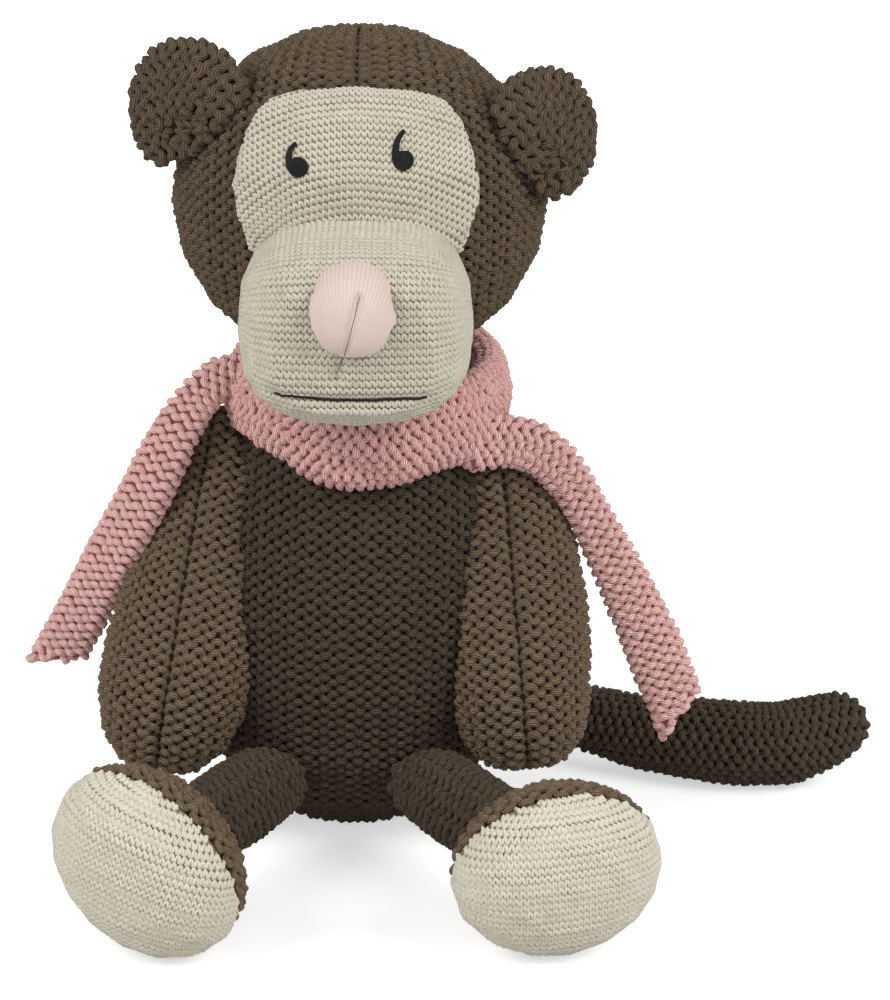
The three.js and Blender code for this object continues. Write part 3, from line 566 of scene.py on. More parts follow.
# ears, made fuller
earSettings = {
    "leftEar": dict(
        middle=(63.5, -19.9, 242.5), out=(0.914, 0.407), scale=(1.04, 1.08, 1.08), drop=1,
    ),
    "rightEar": dict(
        middle=(-48.8, -18.7, 252), out=(-0.914, 0.407), scale=(1.15, 1.12, 1.15), drop=2.5,
    ),
}
for name, ear in earSettings.items():
    middle, (ox, oy) = np.array(ear["middle"]) * mm, ear["out"]
    x, y, z = (coordsOf(pads[name]) - middle).T
    long, thick = (x * ox + y * oy) * ear["scale"][0], (y * ox - x * oy) * ear["scale"][1]
    high = z * ear["scale"][2] - ear["drop"] * mm
    fuller = np.stack([long * ox - thick * oy, long * oy + thick * ox, high], 1)
    setCoords(pads[name], middle + fuller)

# muzzle, swelled up to the brow and creased by its stitches
muzzleShape = dict(liftFrom=185, liftSpan=30, lift=5.5, mouth=(1.3, 2.2), chin=(1.5, 1.8))
mouthLine = (
    (-18.8, -90, 177.3), (-8, -95, 176.2), (5, -97, 175.8), (17, -95, 176), (27, -90, 176.3),
)
chinFold = ((1.9, -102, 189.5), (-0.4, -100, 182.5))
spots = coordsOf(pads["muzzle"])
lift = ease(spots[:, 2], muzzleShape["liftFrom"], muzzleShape["liftSpan"])
spots[:, 2] += muzzleShape["lift"] * mm * lift
setCoords(pads["muzzle"], spots)
pullIn(pads["muzzle"], mouthLine, *muzzleShape["mouth"])
pullIn(pads["muzzle"], chinFold, *muzzleShape["chin"])

# nose, rounded and sunk into the muzzle at its back
noseShape = dict(smooth=45, middle=(5, -92, 203), scale=(1.28, 1.12, 1.2), shift=(0, -0.4, -1.6),
                 backFrom=-105, backSpan=14, sink=7)
middle = np.array(noseShape["middle"]) * mm
spots = coordsOf(refine(relax(pads["nose"], noseShape["smooth"])))
spots = middle + (spots - middle) * noseShape["scale"] + np.array(noseShape["shift"]) * mm
back = np.clip((spots[:, 1] / mm - noseShape["backFrom"]) / noseShape["backSpan"], 0, 1)
spots[:, 1] += noseShape["sink"] * mm * back**2
setCoords(pads["nose"], spots)

# arms, made fuller towards the shoulder
armShape = dict(step=4, band=6, riseFrom=105, riseSpan=40, deepShare=0.3)
fullness = {  # height, inner share, outer share
    "leftArm": dict(inner=-1, rise=0, shares=(
        (45, 1, 1), (60, 1.04, 1), (78, 1.12, 1.12), (95, 1.3, 1.3), (111, 1.55, 1.6), (140, 1.7, 1.8),
    )),
    "rightArm": dict(inner=1, rise=6, shares=(
        (28, 1, 1), (42, 1.1, 1), (60, 1.2, 1.04), (92, 1.26, 1), (122, 1.7, 1), (140, 1.3, 1),
    )),
}
for name, full in fullness.items():
    spots = coordsOf(pads[name])
    high, step = spots[:, 2], armShape["step"] * mm
    heights = np.arange(high.min(), high.max() + step, step)
    bands = [spots[np.abs(high - h) < armShape["band"] * mm] for h in heights]
    middles = [[(band[:, k].min() + band[:, k].max()) / 2 for band in bands] for k in (0, 1)]
    middleX, middleY = (np.interp(high, heights, middle) for middle in middles)
    level, *sides = zip(*full["shares"])
    inner, outer = (np.interp(high / mm, level, shares) for shares in sides)
    across, deep = spots[:, 0] - middleX, spots[:, 1] - middleY
    share = np.where(across * full["inner"] > 0, inner, outer)
    rise = full["rise"] * mm * ease(high, armShape["riseFrom"], armShape["riseSpan"])
    deep = deep * (1 + (share - 1) * armShape["deepShare"])
    setCoords(pads[name], np.stack([middleX + across * share, middleY + deep, high + rise], 1))
    relax(pads[name], 2)
armDent = dict(line=((-49, -30, 148), (-53, -30, 133), (-60, -30, 118), (-66, -30, 106)),
               depth=2.5, fibreDepth=3, width=9)  # under the scarf end

# tail, sewn on with a full root that is sunk in the seat
tailShape = dict(
    route=((26, 36, 30), (59, 52, 22.2), (92, 36, 15.2), (126, 22, 15.2), (152, 18, 15.2),
           (183, 30, 22.2)),
    rootRun=(0, 40, 75), rootSize=(8.2, 8.2, 0), most=4, sinkRun=14, sink=(-5.3, -8.4, 1),
)
path, spots = smoothPath(tailShape["route"]), coordsOf(pads["tail"])
near = np.linalg.norm(spots[:, None] - path[None], axis=2).argmin(axis=1)
run = (runOf(path) / mm)[near]
away = spots - path[near]
rootSize = np.interp(run, tailShape["rootRun"], tailShape["rootSize"])[:, None] * mm
fuller = np.clip(rootSize / np.maximum(lengths(away), 1e-6), 1, tailShape["most"])
sunk = np.clip(1 - run / tailShape["sinkRun"], 0, 1)[:, None] * np.array(tailShape["sink"]) * mm
setCoords(pads["tail"], path[near] + away * fuller + sunk)
relax(pads["tail"], 3)
pullIn(pads["rightArm"], armDent["line"], armDent["depth"], armDent["width"])
padTrees = {name: treeOf(pad) for name, pad in pads.items()}
print("stuffed forms made")


# courses of knitting laid on a form
def valuesAt(marks, run, rows):
    return np.stack([np.interp(marks, run, column) for column in rows.T], -1)


class Spine:
    def __init__(self, points):
        self.path = smoothPath(points)
        self.along = runOf(self.path)
        self.ways = unit(np.gradient(self.path, axis=0))
        self.length = self.along[-1]

    def at(self, t):
        inside = min(max(t, 0), self.length)
        way = unit(valuesAt(inside, self.along, self.ways))
        return valuesAt(inside, self.along, self.path) + way * (t - inside), way


def newCourses(rows):
    return dict(spots=[], upWay=[], outWay=[], phase=[], room=[], edges=[], rows=rows)


def addCourse(courses, **course):
    base, count = len(courses["spots"]), len(course["spots"])
    for key, values in course.items():
        courses[key].extend(values)
    courses["edges"].extend((base + i, base + i + 1) for i in range(count - 1))


laying = dict(probes=300, sampleStep=1.1, samples=(24, 420), shortest=0.4, seamWidth=2.2,
              floorGap=1.5, tightest=0.2, roomyRound=4, missedRound=100)


def layCourses(tree, form):
    spine = Spine(form["spine"])
    reach, pitch, rowPitch = form["reach"] * mm, form["columnPitch"] * mm, form["rowPitch"] * mm
    fractions = np.arange(form["samples"]) / form["samples"]
    keep = form.get("keep", lambda spot, normal: True)
    bow = form.get("bow", lambda angle: 0)
    frontWay = np.array(form["front"], float)

    def castAt(t, angle):
        spot, way = spine.at(t)
        front = unit(frontWay - way * frontWay.dot(way))
        out = front * math.cos(angle) + np.cross(way, front) * math.sin(angle)
        return tree.ray_cast(Vector(spot + out * reach), Vector(-out), reach)[:2]

    overshoot = form.get("overshoot", 8) * mm
    sweep = (1 - np.cos(np.linspace(0, math.pi, laying["probes"]))) / 2
    heights = -overshoot + sweep * (spine.length + 2 * overshoot)
    sides = form.get("measure", (0,))
    seen = [(t, [castAt(t, side)[0] for side in sides]) for t in heights]
    seen = [(t, np.array(spots)) for t, spots in seen if None not in spots]
    steps = [lengths(b[1] - a[1]).max() for a, b in zip(seen, seen[1:])]  # by the wider side
    gone = np.concatenate([[0], np.cumsum(steps)])
    rowCount = max(1, round(gone[-1] / rowPitch))
    marks = (np.arange(rowCount) + 0.5) * gone[-1] / rowCount
    rowAt = np.interp(marks, gone, [t for t, _ in seen])
    spacing = np.median(np.diff(rowAt)) if rowCount > 1 else rowPitch
    more = form.get("more", 4)
    before = rowAt[0] - spacing * np.arange(more, 0, -1)
    after = rowAt[-1] + spacing * np.arange(1, more + 1)
    low, high = form.get("span", (-math.pi, math.pi))
    seam = form.get("seam", 0) * mm
    offset = 0.5 if seam else 0
    courses = newCourses(rowCount)
    for t in (*before, *rowAt, *after):
        middle = spine.at(t)[0]
        first = castAt(t, sides[0])[0]
        around = laying["missedRound"] * mm
        if first is not None:
            around = 2 * math.pi * np.linalg.norm(np.array(first) - middle)
        room = min(1, max(laying["tightest"], (around / pitch - 1) / laying["roomyRound"]))
        wanted = around * (high - low) / (2 * math.pi) / (laying["sampleStep"] * mm)
        count = int(min(max(wanted, laying["samples"][0]), laying["samples"][1])) // 2 * 2 + 1
        angles = np.linspace(low, high, count)
        places, normals, good = np.zeros((count, 3)), np.zeros((count, 3)), np.zeros(count, bool)
        for i, angle in enumerate(angles):
            spot, normal = castAt(t + bow(angle) * mm, angle)
            if spot is None:
                places[i] = places[i - 1] if i else middle
                normals[i] = normals[i - 1] if i else (0, 0, 1)
            else:
                places[i], normals[i] = spot, normal
                good[i] = keep(spot, normal)
        for gap in (1, 2):  # stray misses are closed
            inner = good[:-gap - 1] & good[gap + 1:]
            for k in range(1, gap + 1):
                good[k:len(good) - gap - 1 + k] |= inner
        normals = unit(smoothRing(normals, 3))
        run = runOf(places)
        run -= np.interp(0, angles, run)
        ends = np.flatnonzero(np.diff([0, *good, 0]))
        for start, stop in zip(ends[::2], ends[1::2] - 1):
            parts = [(run[start], run[stop])]
            if seam:
                parts = [(run[start], min(run[stop], -seam)), (max(run[start], seam), run[stop])]
            for begin, end in parts:
                if end - begin < laying["shortest"] * pitch:
                    continue
                whole = np.arange(math.floor(begin / pitch) - 1, math.ceil(end / pitch) + 2)
                marks = ((whole[:, None] + fractions - offset) * pitch).ravel()
                marks = marks[(marks > begin + 1e-5) & (marks < end - 1e-5)]
                marks = np.concatenate([[begin], marks, [end]])
                place, normal = valuesAt(marks, run, places), unit(valuesAt(marks, run, normals))
                up = unit(np.cross(normal, np.gradient(place, axis=0)))
                lift = np.full(len(marks), form["lift"] * mm)
                if seam:
                    dip = np.exp(-((marks / (laying["seamWidth"] * mm)) ** 2))
                    lift -= form["groove"] * mm * dip
                place = place + normal * lift[:, None]
                place[:, 2] = np.maximum(place[:, 2], laying["floorGap"] * mm)  # pressed flat
                addCourse(courses, spots=place, upWay=up, outWay=normal,
                          phase=marks / pitch + offset, room=[room] * len(marks))
    return courses


courseLayers = {"upWay": "vector", "outWay": "vector", "phase": "value", "room": "value"}


def knitPiece(name, courses, gauge, yarn, backing=None, gapShadeCloth=None):
    mesh = bpy.data.meshes.new(name)
    mesh.from_pydata([tuple(s) for s in courses["spots"]], courses["edges"], [])
    for label, field in courseLayers.items():
        kind = "FLOAT_VECTOR" if field == "vector" else "FLOAT"
        values = np.array(courses[label], np.float32).ravel()
        mesh.attributes.new(label, kind, "POINT").data.foreach_set(field, values)
    piece = addObject(name, mesh)
    modifier = piece.modifiers.new("knit", "NODES")
    modifier.node_group = knit
    values = {label: gauge[key] * size for label, (key, size) in gaugeInputs.items()}
    values["Yarn"] = yarn
    if backing is not None:
        values.update({"Backing": backing, "Backing cloth": gapShadeCloth})
    for item in knit.interface.items_tree:
        if item.in_out == "INPUT" and item.name in values:
            modifier[item.identifier] = values[item.name]
    attributes = finished(piece).data.attributes
    for spare in (*courseLayers, "core"):
        if spare in attributes:
            attributes.remove(attributes[spare])
    print("  %s: %d courses, %d faces" % (name, courses["rows"], len(piece.data.polygons)))
    return piece


def dress(piece, body, slot, *nodeNames, fill=None):
    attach(piece, body)
    if nodeNames:
        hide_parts(*nodeNames)
    return piece


brown = dict(shade=brownShade, slot="brown_knit")
beige = dict(shade=beigeShade, slot="beige_knit")


def knitOver(padName, form, gauge, yarn, cloth, fill, name=None, body=None, node=None):
    courses, name = layCourses(padTrees[padName], form), (name or padName) + "Knit"
    piece = knitPiece(name, courses, gauge, yarn, pads[padName], cloth["shade"])
    node = node or cadName(padName) + "_cover"
    return dress(piece, body or cadName(padName), cloth["slot"], node, fill=fill)


def clearOf(*names, by=1.0):
    trees = [padTrees[n] for n in names]
    return lambda spot, normal: all(depthIn(tree, spot) < by * mm for tree in trees)


chunky = dict(sway=1.35, radius=1.4, sharpness=0.5, slant=0, hump=0.65, uneven=1.2, flat=0.22,
              sides=6)
chunkyLay = dict(columnPitch=5.6, rowPitch=3.9, samples=10, lift=0.95)
fine = dict(sway=0.85, radius=0.74, sharpness=0.5, slant=0.9, hump=0.0, uneven=0.35, flat=0,
            sides=5)
fineLay = dict(columnPitch=1.95, rowPitch=2.45, samples=6, lift=0.2)
seamed = dict(seam=0.55, groove=1.0)
quarter = math.pi / 2

# body, in a front and a back panel
bodyForm = dict(chunkyLay, spine=((0, 0, -2), (5, 0, 170)), front=(0, -1, 0), reach=120,
                span=(-quarter, quarter), keep=clearOf("head", by=3))
knitOver("body", bodyForm, chunky, duskYarn, brown, 0.85, name="bodyFront", body="torso")
bodyBack = layCourses(padTrees["body"], dict(bodyForm, front=(0, 1, 0)))
bodyBackKnit = knitPiece("bodyBackKnit", bodyBack, chunky, duskYarn)
dress(bodyBackKnit, "torso", "brown_knit", "body_cover", fill=0.85)

# head with its seam from the brow over the top
browShape = dict(voxel=1.6, smooth=3)
pads["brow"] = refine(padOf("browPad", ["brow_panel"], **browShape))
padTrees["brow"] = treeOf(pads["brow"])
headGap = dict(muzzle=0.5, body=2, browBehind=2, browAhead=12)


def headKeep(spot, normal):
    if not all(depthIn(padTrees[n], spot) <= headGap[n] * mm for n in ("muzzle", "body")):
        return False
    behind = spot - normal * headGap["browBehind"] * mm
    return padTrees["brow"].ray_cast(behind, normal, headGap["browAhead"] * mm)[0] is None


headForm = dict(chunkyLay, **seamed, spine=((5, 0, 160), (5, 0, 275)), front=(0, -1, 0), reach=120,
                measure=(quarter,), keep=headKeep)
knitOver("head", headForm, chunky, headYarn, brown, 0.85)

# face patch, whose rows dip more on its right
browBow = dict(right=19, left=5)


def browKeep(spot, normal):
    return normal.y < 0.4 and depthIn(padTrees["muzzle"], spot) < 2 * mm


browForm = dict(fineLay, spine=((5, -8, 180), (5, 58, 238)), front=(0, -0.7, 0.7), reach=120,
                lift=-0.3, overshoot=40, span=(-1.4, 1.4), keep=browKeep,
                bow=lambda angle: -browBow["right" if angle < 0 else "left"] * angle**2)
knitOver("brow", browForm, fine, beigeYarn, beige, 0.6, body="head", node="brow_panel")

# muzzle
muzzleForm = dict(
    fineLay, spine=((5, -44, 161), (5, -57, 174), (5, -61, 190), (5, -55, 207), (5, -38, 221)),
    front=(0, -1, 0), reach=90, keep=clearOf("head", "nose", by=1.5), overshoot=14, span=(-2.35, 2.35),
)
knitOver("muzzle", muzzleForm, fine, beigeYarn, beige, 0.8, body="head")
print("head knitted")

# ears
earGauge = dict(chunky, hump=0.3, radius=1.6)
earLay = dict(chunkyLay, front=(0, 0, 1), reach=60, rowPitch=3.7, keep=clearOf("head", by=2))
earHalf = 20
for name, ear in earSettings.items():
    (x, y, z), (ox, oy) = ear["middle"], np.array(ear["out"]) * earHalf
    form = dict(earLay, spine=((x - ox, y - oy, z), (x + ox, y + oy, z)))
    knitOver(name, form, earGauge, earYarn, brown, 0.7)

# arms, seamed along the front
armSettings = {
    "leftArm": dict(spine=((60.5, -42, 29.5), (51, -8, 137.5)), front=(0.05, -1, 0)),
    "rightArm": dict(spine=((-63.5, -42, 28.5), (-44, -8, 145.5)), front=(-0.05, -1, 0)),
}
for name, arm in armSettings.items():
    form = dict(chunkyLay, **seamed, **arm, reach=70, keep=clearOf("body"))
    knitOver(name, form, chunky, brownYarn, brown, 0.8)


# legs, insteps and soles
def cutPad(pad, spot, way):
    build = bmesh.new()
    build.from_mesh(pad.data)
    everything = [*build.verts, *build.edges, *build.faces]
    bmesh.ops.bisect_plane(build, geom=everything, plane_co=spot, plane_no=way, clear_inner=True)
    bmesh.ops.holes_fill(build, edges=[e for e in build.edges if e.is_boundary], sides=0)
    bmesh.ops.recalc_face_normals(build, faces=build.faces)
    build.to_mesh(pad.data)
    build.free()
    return pad


footSettings = {
    "left": dict(
        hip=(20, -38, 29), foot=(68, -117, 28.55), ahead=(0.2419, -0.9703, 0),
        long=(0.9666, 0.241, 0.0872),
    ),
    "right": dict(
        hip=(-20, -38, 29), foot=(-60, -117, 30.9), ahead=(-0.3746, -0.9272, 0),
        long=(0.7306, -0.2952, -0.6157),
    ),
}
soleSeam = dict(ahead=5, rise=26, tilt=math.radians(20), gap=0.2)  # from the foot's middle
instepRun = (0.5, 50)  # back from the seam
soleRun = ((-30, -12), (-8, -4), (12, -5), (30, -9))  # up and ahead of the foot's middle
soleGauge = dict(fine, sway=1.0, radius=0.78)
soleLay = dict(fineLay, reach=60, lift=1.0, rowPitch=2.35, more=16)
soleGrow = 0.8
for side, foot in footSettings.items():
    body, leg, sole = side + "_leg", side + "Leg", side + "Sole"
    middle, ahead, long = (Vector(foot[k]) for k in ("foot", "ahead", "long"))
    upright = ahead.cross(long) * (1 if ahead.cross(long).z > 0 else -1)
    seamSpot = (middle + ahead * soleSeam["ahead"] + upright * soleSeam["rise"]) * mm
    seamWay = ahead * math.cos(soleSeam["tilt"]) - upright * math.sin(soleSeam["tilt"])
    seamWay.normalize()
    legForm = dict(chunkyLay, spine=(foot["foot"], foot["hip"]), front=(0, 0, 1), reach=40,
                   keep=clearOf("body", side + "Foot"))
    knitOver(leg, legForm, chunky, duskYarn, brown, 0.7)

    def instepKeep(spot, normal, seamSpot=seamSpot, seamWay=seamWay, legTree=padTrees[leg]):
        return (spot - seamSpot).dot(seamWay) < 0 and depthIn(legTree, spot) < 1 * mm

    def soleKeep(spot, normal, seamSpot=seamSpot, seamWay=seamWay):
        return (spot - seamSpot).dot(seamWay) > soleSeam["gap"] * mm

    seamMiddle = middle + seamWay * seamWay.dot(seamSpot / mm - middle)
    instepForm = dict(chunkyLay, spine=[seamMiddle - seamWay * back for back in instepRun],
                      front=upright, reach=70, keep=instepKeep, overshoot=0, more=0)
    knitOver(side + "Foot", instepForm, chunky, brownYarn, brown, 0.75, body=body)
    soleUp = (upright + Vector((0, 0, 1))).normalized()
    soleForm = dict(soleLay, spine=[middle + soleUp * up + ahead * fore for up, fore in soleRun],
                    front=ahead, keep=soleKeep)
    pads[sole] = grow(addObject(sole + "Pad", pads[side + "Foot"].data.copy()), soleGrow)
    cutPad(pads[sole], seamSpot, seamWay)
    padTrees[sole] = padTrees[side + "Foot"]
    knitOver(sole, soleForm, soleGauge, soleYarn, beige, 0.75, body=body, node=side + "_sole")

# tail
tailForm = dict(chunkyLay, spine=tailShape["route"], front=(0, 0, 1), reach=45,
                measure=(quarter, -quarter), keep=clearOf("body"))
knitOver("tail", tailForm, chunky, duskYarn, brown, 0.8)
print("limbs knitted")

# scarf ends: knitted strips draped over the arms
scarfSettings = {
    "leftScarf": dict(
        path=((36, -30, 138), (52, -23, 141), (69, -20, 133), (84, -20, 108), (99, -20, 77),
              (114.5, -20, 39)),
        outer=1, over="leftArm", lean=((0, 0), (1, 0)),
        shares=(0, 0.2, 0.4, 0.55, 0.8, 1), widths=(0.95, 0.85, 0.68, 0.8, 1.05, 1.0),
    ),
    "rightScarf": dict(
        path=((-28, -12, 158), (-40, -13, 161), (-50, -19, 152), (-57, -23, 141), (-67, -24, 121),
              (-78, -21, 101), (-88, -17, 81), (-101, -12, 56.5)),
        outer=-1, over="rightArm", lean=((0, 10), (0.25, 36), (0.6, 32), (1, 8)),
        shares=(0, 0.16, 0.34, 0.6, 1), widths=(0.66, 0.72, 1, 1, 0.92),
    ),
}
draping = dict(steps=60, clearance=9, before=-300, level=0.65, tilted=0.35, smoothPath=14,
               smoothFaces=20)
stripCut = dict(wide=8.4, thick=2.6, sides=20, ring=1.6, slope=-7, slopeFrom=0.75)
scarfLay = dict(chunkyLay, lift=0.5, columnPitch=5.4, rowPitch=3.75)


def drape(scarf):
    spine, form = Spine(scarf["path"]), padTrees[scarf["over"]]
    places, faces = [], []
    for t in np.linspace(0, spine.length, draping["steps"]):
        spot = spine.at(t)[0]
        before = Vector((spot[0], draping["before"] * mm, spot[2]))
        hit, normal, _, _ = form.ray_cast(before, Vector((0, 1, 0)))
        turn = math.radians(np.interp(t / spine.length, *zip(*scarf["lean"])))
        face = np.array((math.sin(turn), math.cos(turn), 0))
        if hit is not None and hit.y - draping["clearance"] * mm < spot[1]:
            spot = np.array((spot[0], hit.y - draping["clearance"] * mm, spot[2]))
            face = (0, draping["level"], 0) - draping["tilted"] * np.array(normal)
        places.append(spot)
        faces.append(face)
    places = smoothRing(np.array(places), draping["smoothPath"])
    return [tuple(p / mm) for p in places], smoothRing(np.array(faces), draping["smoothFaces"])


def rounded(value, power):
    return math.copysign(abs(value) ** power, value)


def ribbon(name, path, faceWays, scarf):
    spine, sides = Spine(path), stripCut["sides"]
    rings = int(spine.length / (stripCut["ring"] * mm))
    build = bmesh.new()
    verts = []
    for ring in range(rings + 1):
        t = spine.length * ring / rings
        share = t / spine.length
        spot, way = spine.at(t)
        faceWay = faceWays[min(round(share * len(faceWays)), len(faceWays) - 1)]
        flat = unit(faceWay - way * np.dot(faceWay, way))
        side = np.cross(way, flat)
        width = np.interp(share, scarf["shares"], scarf["widths"])
        slope = max(0, share - stripCut["slopeFrom"]) / (1 - stripCut["slopeFrom"])
        for k in range(sides):
            turn = 2 * math.pi * k / sides
            across = rounded(math.cos(turn), 0.5) * width
            deep = rounded(math.sin(turn), 0.7) * stripCut["thick"] * mm
            shift = stripCut["slope"] * across * slope * mm
            place = spot + side * across * stripCut["wide"] * mm + flat * deep + way * shift
            verts.append(build.verts.new(place))
    faces = [(a + k, a + (k + 1) % sides, a + sides + (k + 1) % sides, a + sides + k)
             for a in range(0, rings * sides, sides) for k in range(sides)]
    faces += [range(sides)[::-1], range(rings * sides, (rings + 1) * sides)]
    for face in faces:
        build.faces.new([verts[i] for i in face])
    bmesh.ops.recalc_face_normals(build, faces=build.faces)
    return addBuilt(name, build)


for name, scarf in scarfSettings.items():
    body = cadName(name) + "_end"
    path, faceWays = drape(scarf)
    strip = ribbon(name + "Strip", path, faceWays, scarf)
    form = dict(scarfLay, spine=path[::-6], front=(0, -1, 0), reach=20, measure=(scarf["outer"],))
    yarn = knitPiece(name + "Knit", layCourses(treeOf(strip), form), chunky, scarfEndYarn)
    dress(yarn, body, "pink_knit", body)
    # painted shade: the strip under the knit is dark pink, and its cut ends take the yarn
    paint(strip, pinkShade, scarfEndYarn)
    for polygon in strip.data.polygons:
        polygon.material_index = int(len(polygon.vertices) > 4)  # the two cut ends
    dress(strip, body, "pink_knit", body)

# scarf loop with its folds in front
wrapShape = dict(voxel=1.8, smooth=2, under=-1.7)
wrapWaves = ((4.5, -25, 13), (-1.5, 1, 13), (2, 30, 10))  # rise, place, width
wrapFront = 20
wrapFolds = (  # line, depth, width
    (((-30, -34, 157), (-12, -44, 147), (9, -48, 137)), 2.2, 2.6),
    (((-26, -34, 164), (-4, -44, 153), (20, -48, 141)), -1.6, 5),
)
wrapLoop = dict(middle=(7, 0, 151), wide=41, deep=44, rise=5, steps=25)
wrapStrip = padOf("wrapStrip", ["scarf_wrap"], **wrapShape)
spots = coordsOf(wrapStrip)
frontShare = np.clip(-spots[:, 1] / (wrapFront * mm), 0, 1)
for rise, place, width in wrapWaves:
    spots[:, 2] += frontShare * mm * rise * np.exp(-(((spots[:, 0] / mm - place) / width) ** 2))
setCoords(wrapStrip, spots)
for fold in wrapFolds:
    pullIn(wrapStrip, *fold)
x, y, z = wrapLoop["middle"]
wrapPath = [(x + wrapLoop["wide"] * math.cos(a), y + wrapLoop["deep"] * math.sin(a),
             z + wrapLoop["rise"] * math.sin(a))
            for a in np.linspace(-3 * quarter, quarter, wrapLoop["steps"])]
wrapForm = dict(scarfLay, spine=wrapPath, front=(0, 0, -1), reach=24, measure=(-quarter,),
                keep=clearOf("body", "head", by=3), overshoot=0, more=0)
wrapKnit = knitPiece("wrapKnit", layCourses(treeOf(wrapStrip), wrapForm), chunky, pinkYarn)
dress(wrapKnit, "torso", "pink_knit", "scarf_wrap")
# painted shade: the strip under the knit is dark pink
paint(wrapStrip, pinkShade)
dress(wrapStrip, "torso", "pink_knit", "scarf_wrap")
print("scarf knitted")


# nose of fine jersey, pinched by a stitch
def jerseyMaterial(name, look):
    material, tree, shader = newMaterial(name)
    rib = calc("ABSOLUTE", calc("SINE", marking(tree, "wale")))
    loops = calc("SINE", calc("MULTIPLY_ADD", rib, 2.0, marking(tree, "course")))
    step = calc("MULTIPLY_ADD", loops, 0.2, rib)
    # painted shade: the jersey is darker in the dips between its ribs and loops
    color = blendColor(step, srgb(*look["dark"]), srgb(*look["light"]))
    matt(shader, color, 0.9, 0.15, step, 0.5, 0.00012)
    return material


jersey = dict(dark=(195, 175, 166), light=(209, 191, 182), pinch=(2.4, -105, 185), wales=74,
              courseStep=0.8)
noseLine = ((7.3, -106, 210), (4.8, -106, 200), (2.6, -105, 191.5))
nosePiece = pads.pop("nose")
nosePiece.name = "noseCover"
for depth, width in ((1.2, 2.2), (1.3, 0.8)):
    pullIn(nosePiece, noseLine, depth, width)
away = coordsOf(nosePiece) - np.array(jersey["pinch"]) * mm
course = np.linalg.norm(away, axis=1) / mm * 2 * math.pi / jersey["courseStep"]
wale = np.arctan2(away[:, 0], away[:, 2]) * jersey["wales"]
for label, values in (("wale", wale), ("course", course)):
    layer = nosePiece.data.attributes.new(label, "FLOAT", "POINT")
    layer.data.foreach_set("value", values.astype(np.float32))
paint(nosePiece, jerseyMaterial("noseJersey", jersey))
for polygon in nosePiece.data.polygons:
    polygon.use_smooth = True
dress(nosePiece, "head", "pale_jersey", "nose_cover", fill=0.7)


# embroidery, laid on the knitting in short threads
def stitch(name, lines, gauge, yarn, node):
    courses = newCourses(len(lines))
    for line in lines:
        count = len(line)
        addCourse(courses, spots=line, upWay=[(0, 0, 1)] * count, outWay=[(0, -1, 0)] * count,
                  phase=[0] * count, room=[0] * count)
    dress(knitPiece(name, courses, gauge, yarn), "head", "black_thread", node)


def onFront(tree, x, z, lift):
    spot, normal, _, _ = tree.ray_cast(Vector((x * mm, -0.2, z * mm)), Vector((0, 1, 0)))
    if spot is None:
        spot, normal, _, _ = tree.find_nearest(Vector((x * mm, -0.1, z * mm)))
    return np.array(spot + normal * lift * mm)


def lineOn(tree, points, steps, lift):
    return [onFront(tree, x, z, lift) for x, _, z in smoothPath(points, steps) / mm]


thread = dict(sway=0, radius=0.3, sharpness=1.0, slant=0, hump=0, uneven=0.25, flat=0, sides=5)
satinArch = 0.5


def satin(start, end, lift):
    spots = []
    for share in np.linspace(0, 1, 5):
        x, z = (a + (b - a) * share for a, b in zip(start, end))
        arch = satinArch * math.sin(math.pi * share)
        spots.append(onFront(padTrees["brow"], x, z, lift + arch))
    return spots


eyeStitch = dict(pitch=0.44, shortest=0.4, lift=0.5, lashLift=0.6, lashRows=24, lashHalf=(1.15, 0.5))
eyeSettings = {
    "rightEye": dict(dot=(-12.8, 238.4), width=3.2, height=2.7,
                     lash=((-15.2, 238.2), (-16.6, 242.8), (-13.4, 245))),
    "leftEye": dict(dot=(19.9, 240.4), width=3.2, height=2.8,
                    lash=((17.6, 241), (16.9, 246), (20, 248.8))),
}


def eyeLines(eye):
    x, z = eye["dot"]
    lines = []
    for rise in np.arange(-eye["height"], eye["height"] + 0.01, eye["pitch"]):
        half = eye["width"] * math.sqrt(max(0, 1 - (rise / (eye["height"] + 0.1)) ** 2))
        if half > eye["shortest"]:
            lines.append(satin((x - half, z + rise), (x + half, z + rise), eye["lift"]))
    a, b, c = np.array(eye["lash"])
    for share in np.linspace(0, 1, eye["lashRows"]):
        spot = (1 - share) ** 2 * a + 2 * share * (1 - share) * b + share**2 * c
        way = unit(2 * (1 - share) * (b - a) + 2 * share * (c - b))
        thick, thin = eye["lashHalf"]
        half = np.array((-way[1], way[0])) * (thick - (thick - thin) * share)
        lines.append(satin(spot + half, spot - half, eye["lashLift"]))
    return lines


for name, eye in eyeSettings.items():
    stitch(name, eyeLines(dict(eyeStitch, **eye)), thread, blackThread, cadName(name))
mouthSpots = lineOn(padTrees["muzzle"], mouthLine, 14, 0.95)
stitch("mouth", [mouthSpots], dict(thread, radius=0.42, uneven=0.8), blackThread, "mouth_stitch")
# the crease threads carry painted shade for the nose crease and chin fold
creaseSpots = lineOn(treeOf(nosePiece), noseLine, 10, 0.05)
foldSpots = lineOn(padTrees["muzzle"], chinFold, 8, 0.9)
stitch("noseStitch", [creaseSpots, foldSpots], dict(thread, radius=0.2), duskThread, "nose_stitch")
print("face stitched")

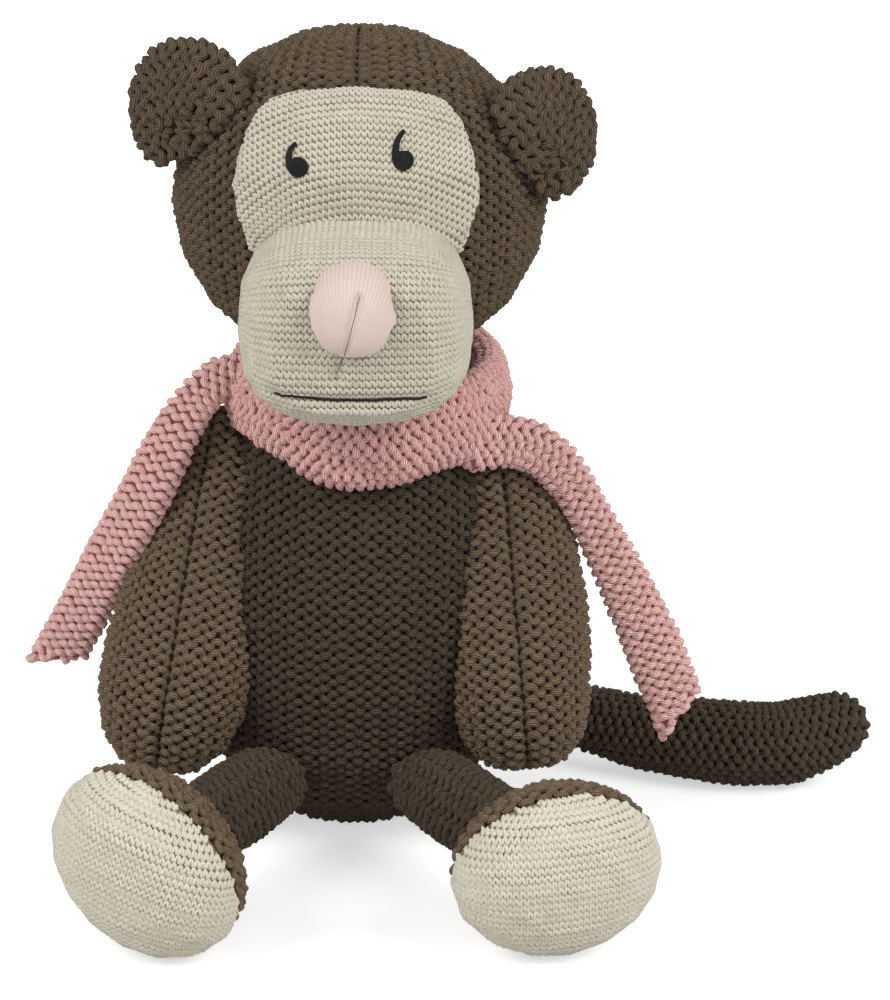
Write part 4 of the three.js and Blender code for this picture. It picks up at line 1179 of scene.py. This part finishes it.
# fibre filling, hidden inside
fibreShape = dict(voxel=3, smooth=6, under=-1.2)
stuffing = {
    "torso": ("body_stuffing_front", "body_stuffing_back"),
    "head": ("head_stuffing", "muzzle_stuffing", "nose_stuffing"),
    **{body: (body + "_stuffing",) for body in ("left_ear", "right_ear", "left_arm", "right_arm")},
    **{side + "_leg": (side + "_leg_stuffing", side + "_foot_stuffing") for side in footSettings},
    "tail": ("tail_stuffing",),
}
for body, names in stuffing.items():
    for node in names:
        fibre = padOf(node + "Fibre", [node], **fibreShape)
        if node == "right_arm_stuffing":
            pullIn(fibre, armDent["line"], armDent["fibreDepth"], armDent["width"])
        paint(fibre, fibreWhite)
        dress(fibre, body, "fibre_filling", node, fill=0.7)
for pad in pads.values():
    bpy.data.objects.remove(pad)
print("filling made")

# squeaker, kept as it is
plastics = {"squeaker_bulb": ((226, 220, 204), 0.45), "squeaker_reed": ((206, 204, 198), 0.3)}
for node, (color, roughness) in plastics.items():
    plastic, tree, shader = newMaterial(node + "Plastic")
    setSockets(shader, Base_Color=srgb(*color), Roughness=roughness)
    for slot in cadNodes[node].material_slots:
        slot.material = plastic


# stage and light
def seenShare(tree):
    rays = tree.nodes.new("ShaderNodeLightPath").outputs
    mirrored = calc("MAXIMUM", rays["Is Glossy Ray"], rays["Is Transmission Ray"])
    return calc("MAXIMUM", rays["Is Camera Ray"], mirrored)


floorHalf = 4
floorGlow = dict(From_Min=0.3, From_Max=1.6, To_Min=0.55, To_Max=0.95)  # whiter farther out
floor = addObject("floor", bpy.data.meshes.new("floor"))
corners = [(x * floorHalf, y * floorHalf, 0) for x, y in ((-1, -1), (1, -1), (1, 1), (-1, 1))]
floor.data.from_pydata(corners, [], [(0, 1, 2, 3)])
floorPaint, tree, shader = newMaterial("floorPaint")
away = vecCalc("LENGTH", objectPlace(tree), give="Value")
whiter = put(tree, "ShaderNodeMapRange", Value=away, **floorGlow).outputs[0]
setSockets(shader, Base_Color=(0.72, 0.72, 0.72, 1), Roughness=1.0, Specular_IOR_Level=0.0,
           Emission_Color=(1, 1, 1, 1),
           Emission_Strength=calc("MULTIPLY", seenShare(tree), whiter))
paint(floor, floorPaint)

skyLight = 0.28  # white where it is seen
world = scene.world or bpy.data.worlds.new("world")
scene.world = world
world.use_nodes = True
tree = world.node_tree
tree.nodes.clear()
strength = calc("MULTIPLY_ADD", seenShare(tree), 1 - skyLight, skyLight)
sky = put(tree, "ShaderNodeBackground", Color=(1, 1, 1, 1), Strength=strength)
feed(tree.nodes.new("ShaderNodeOutputWorld").inputs["Surface"], sky.outputs[0])

lampAim = Vector((0, 0, 0.13))
lamps = {  # place, size, power
    "left": ((-1.25, -0.8, 1.3), 1.0, 22),
    "right": ((1.3, -0.8, 1.2), 1.0, 22),
    "front": ((0, -1.8, 0.9), 0.8, 6),
    "back": ((0.3, 1.7, 1.2), 1.2, 14),
}
for name, (place, size, power) in lamps.items():
    lamp = bpy.data.lights.new(name, "AREA")
    lamp.size, lamp.energy = size, power
    light = addObject(name, lamp)
    light.location = place
    light.rotation_euler = (lampAim - light.location).to_track_quat("-Z", "Y").to_euler()
print("stage set")
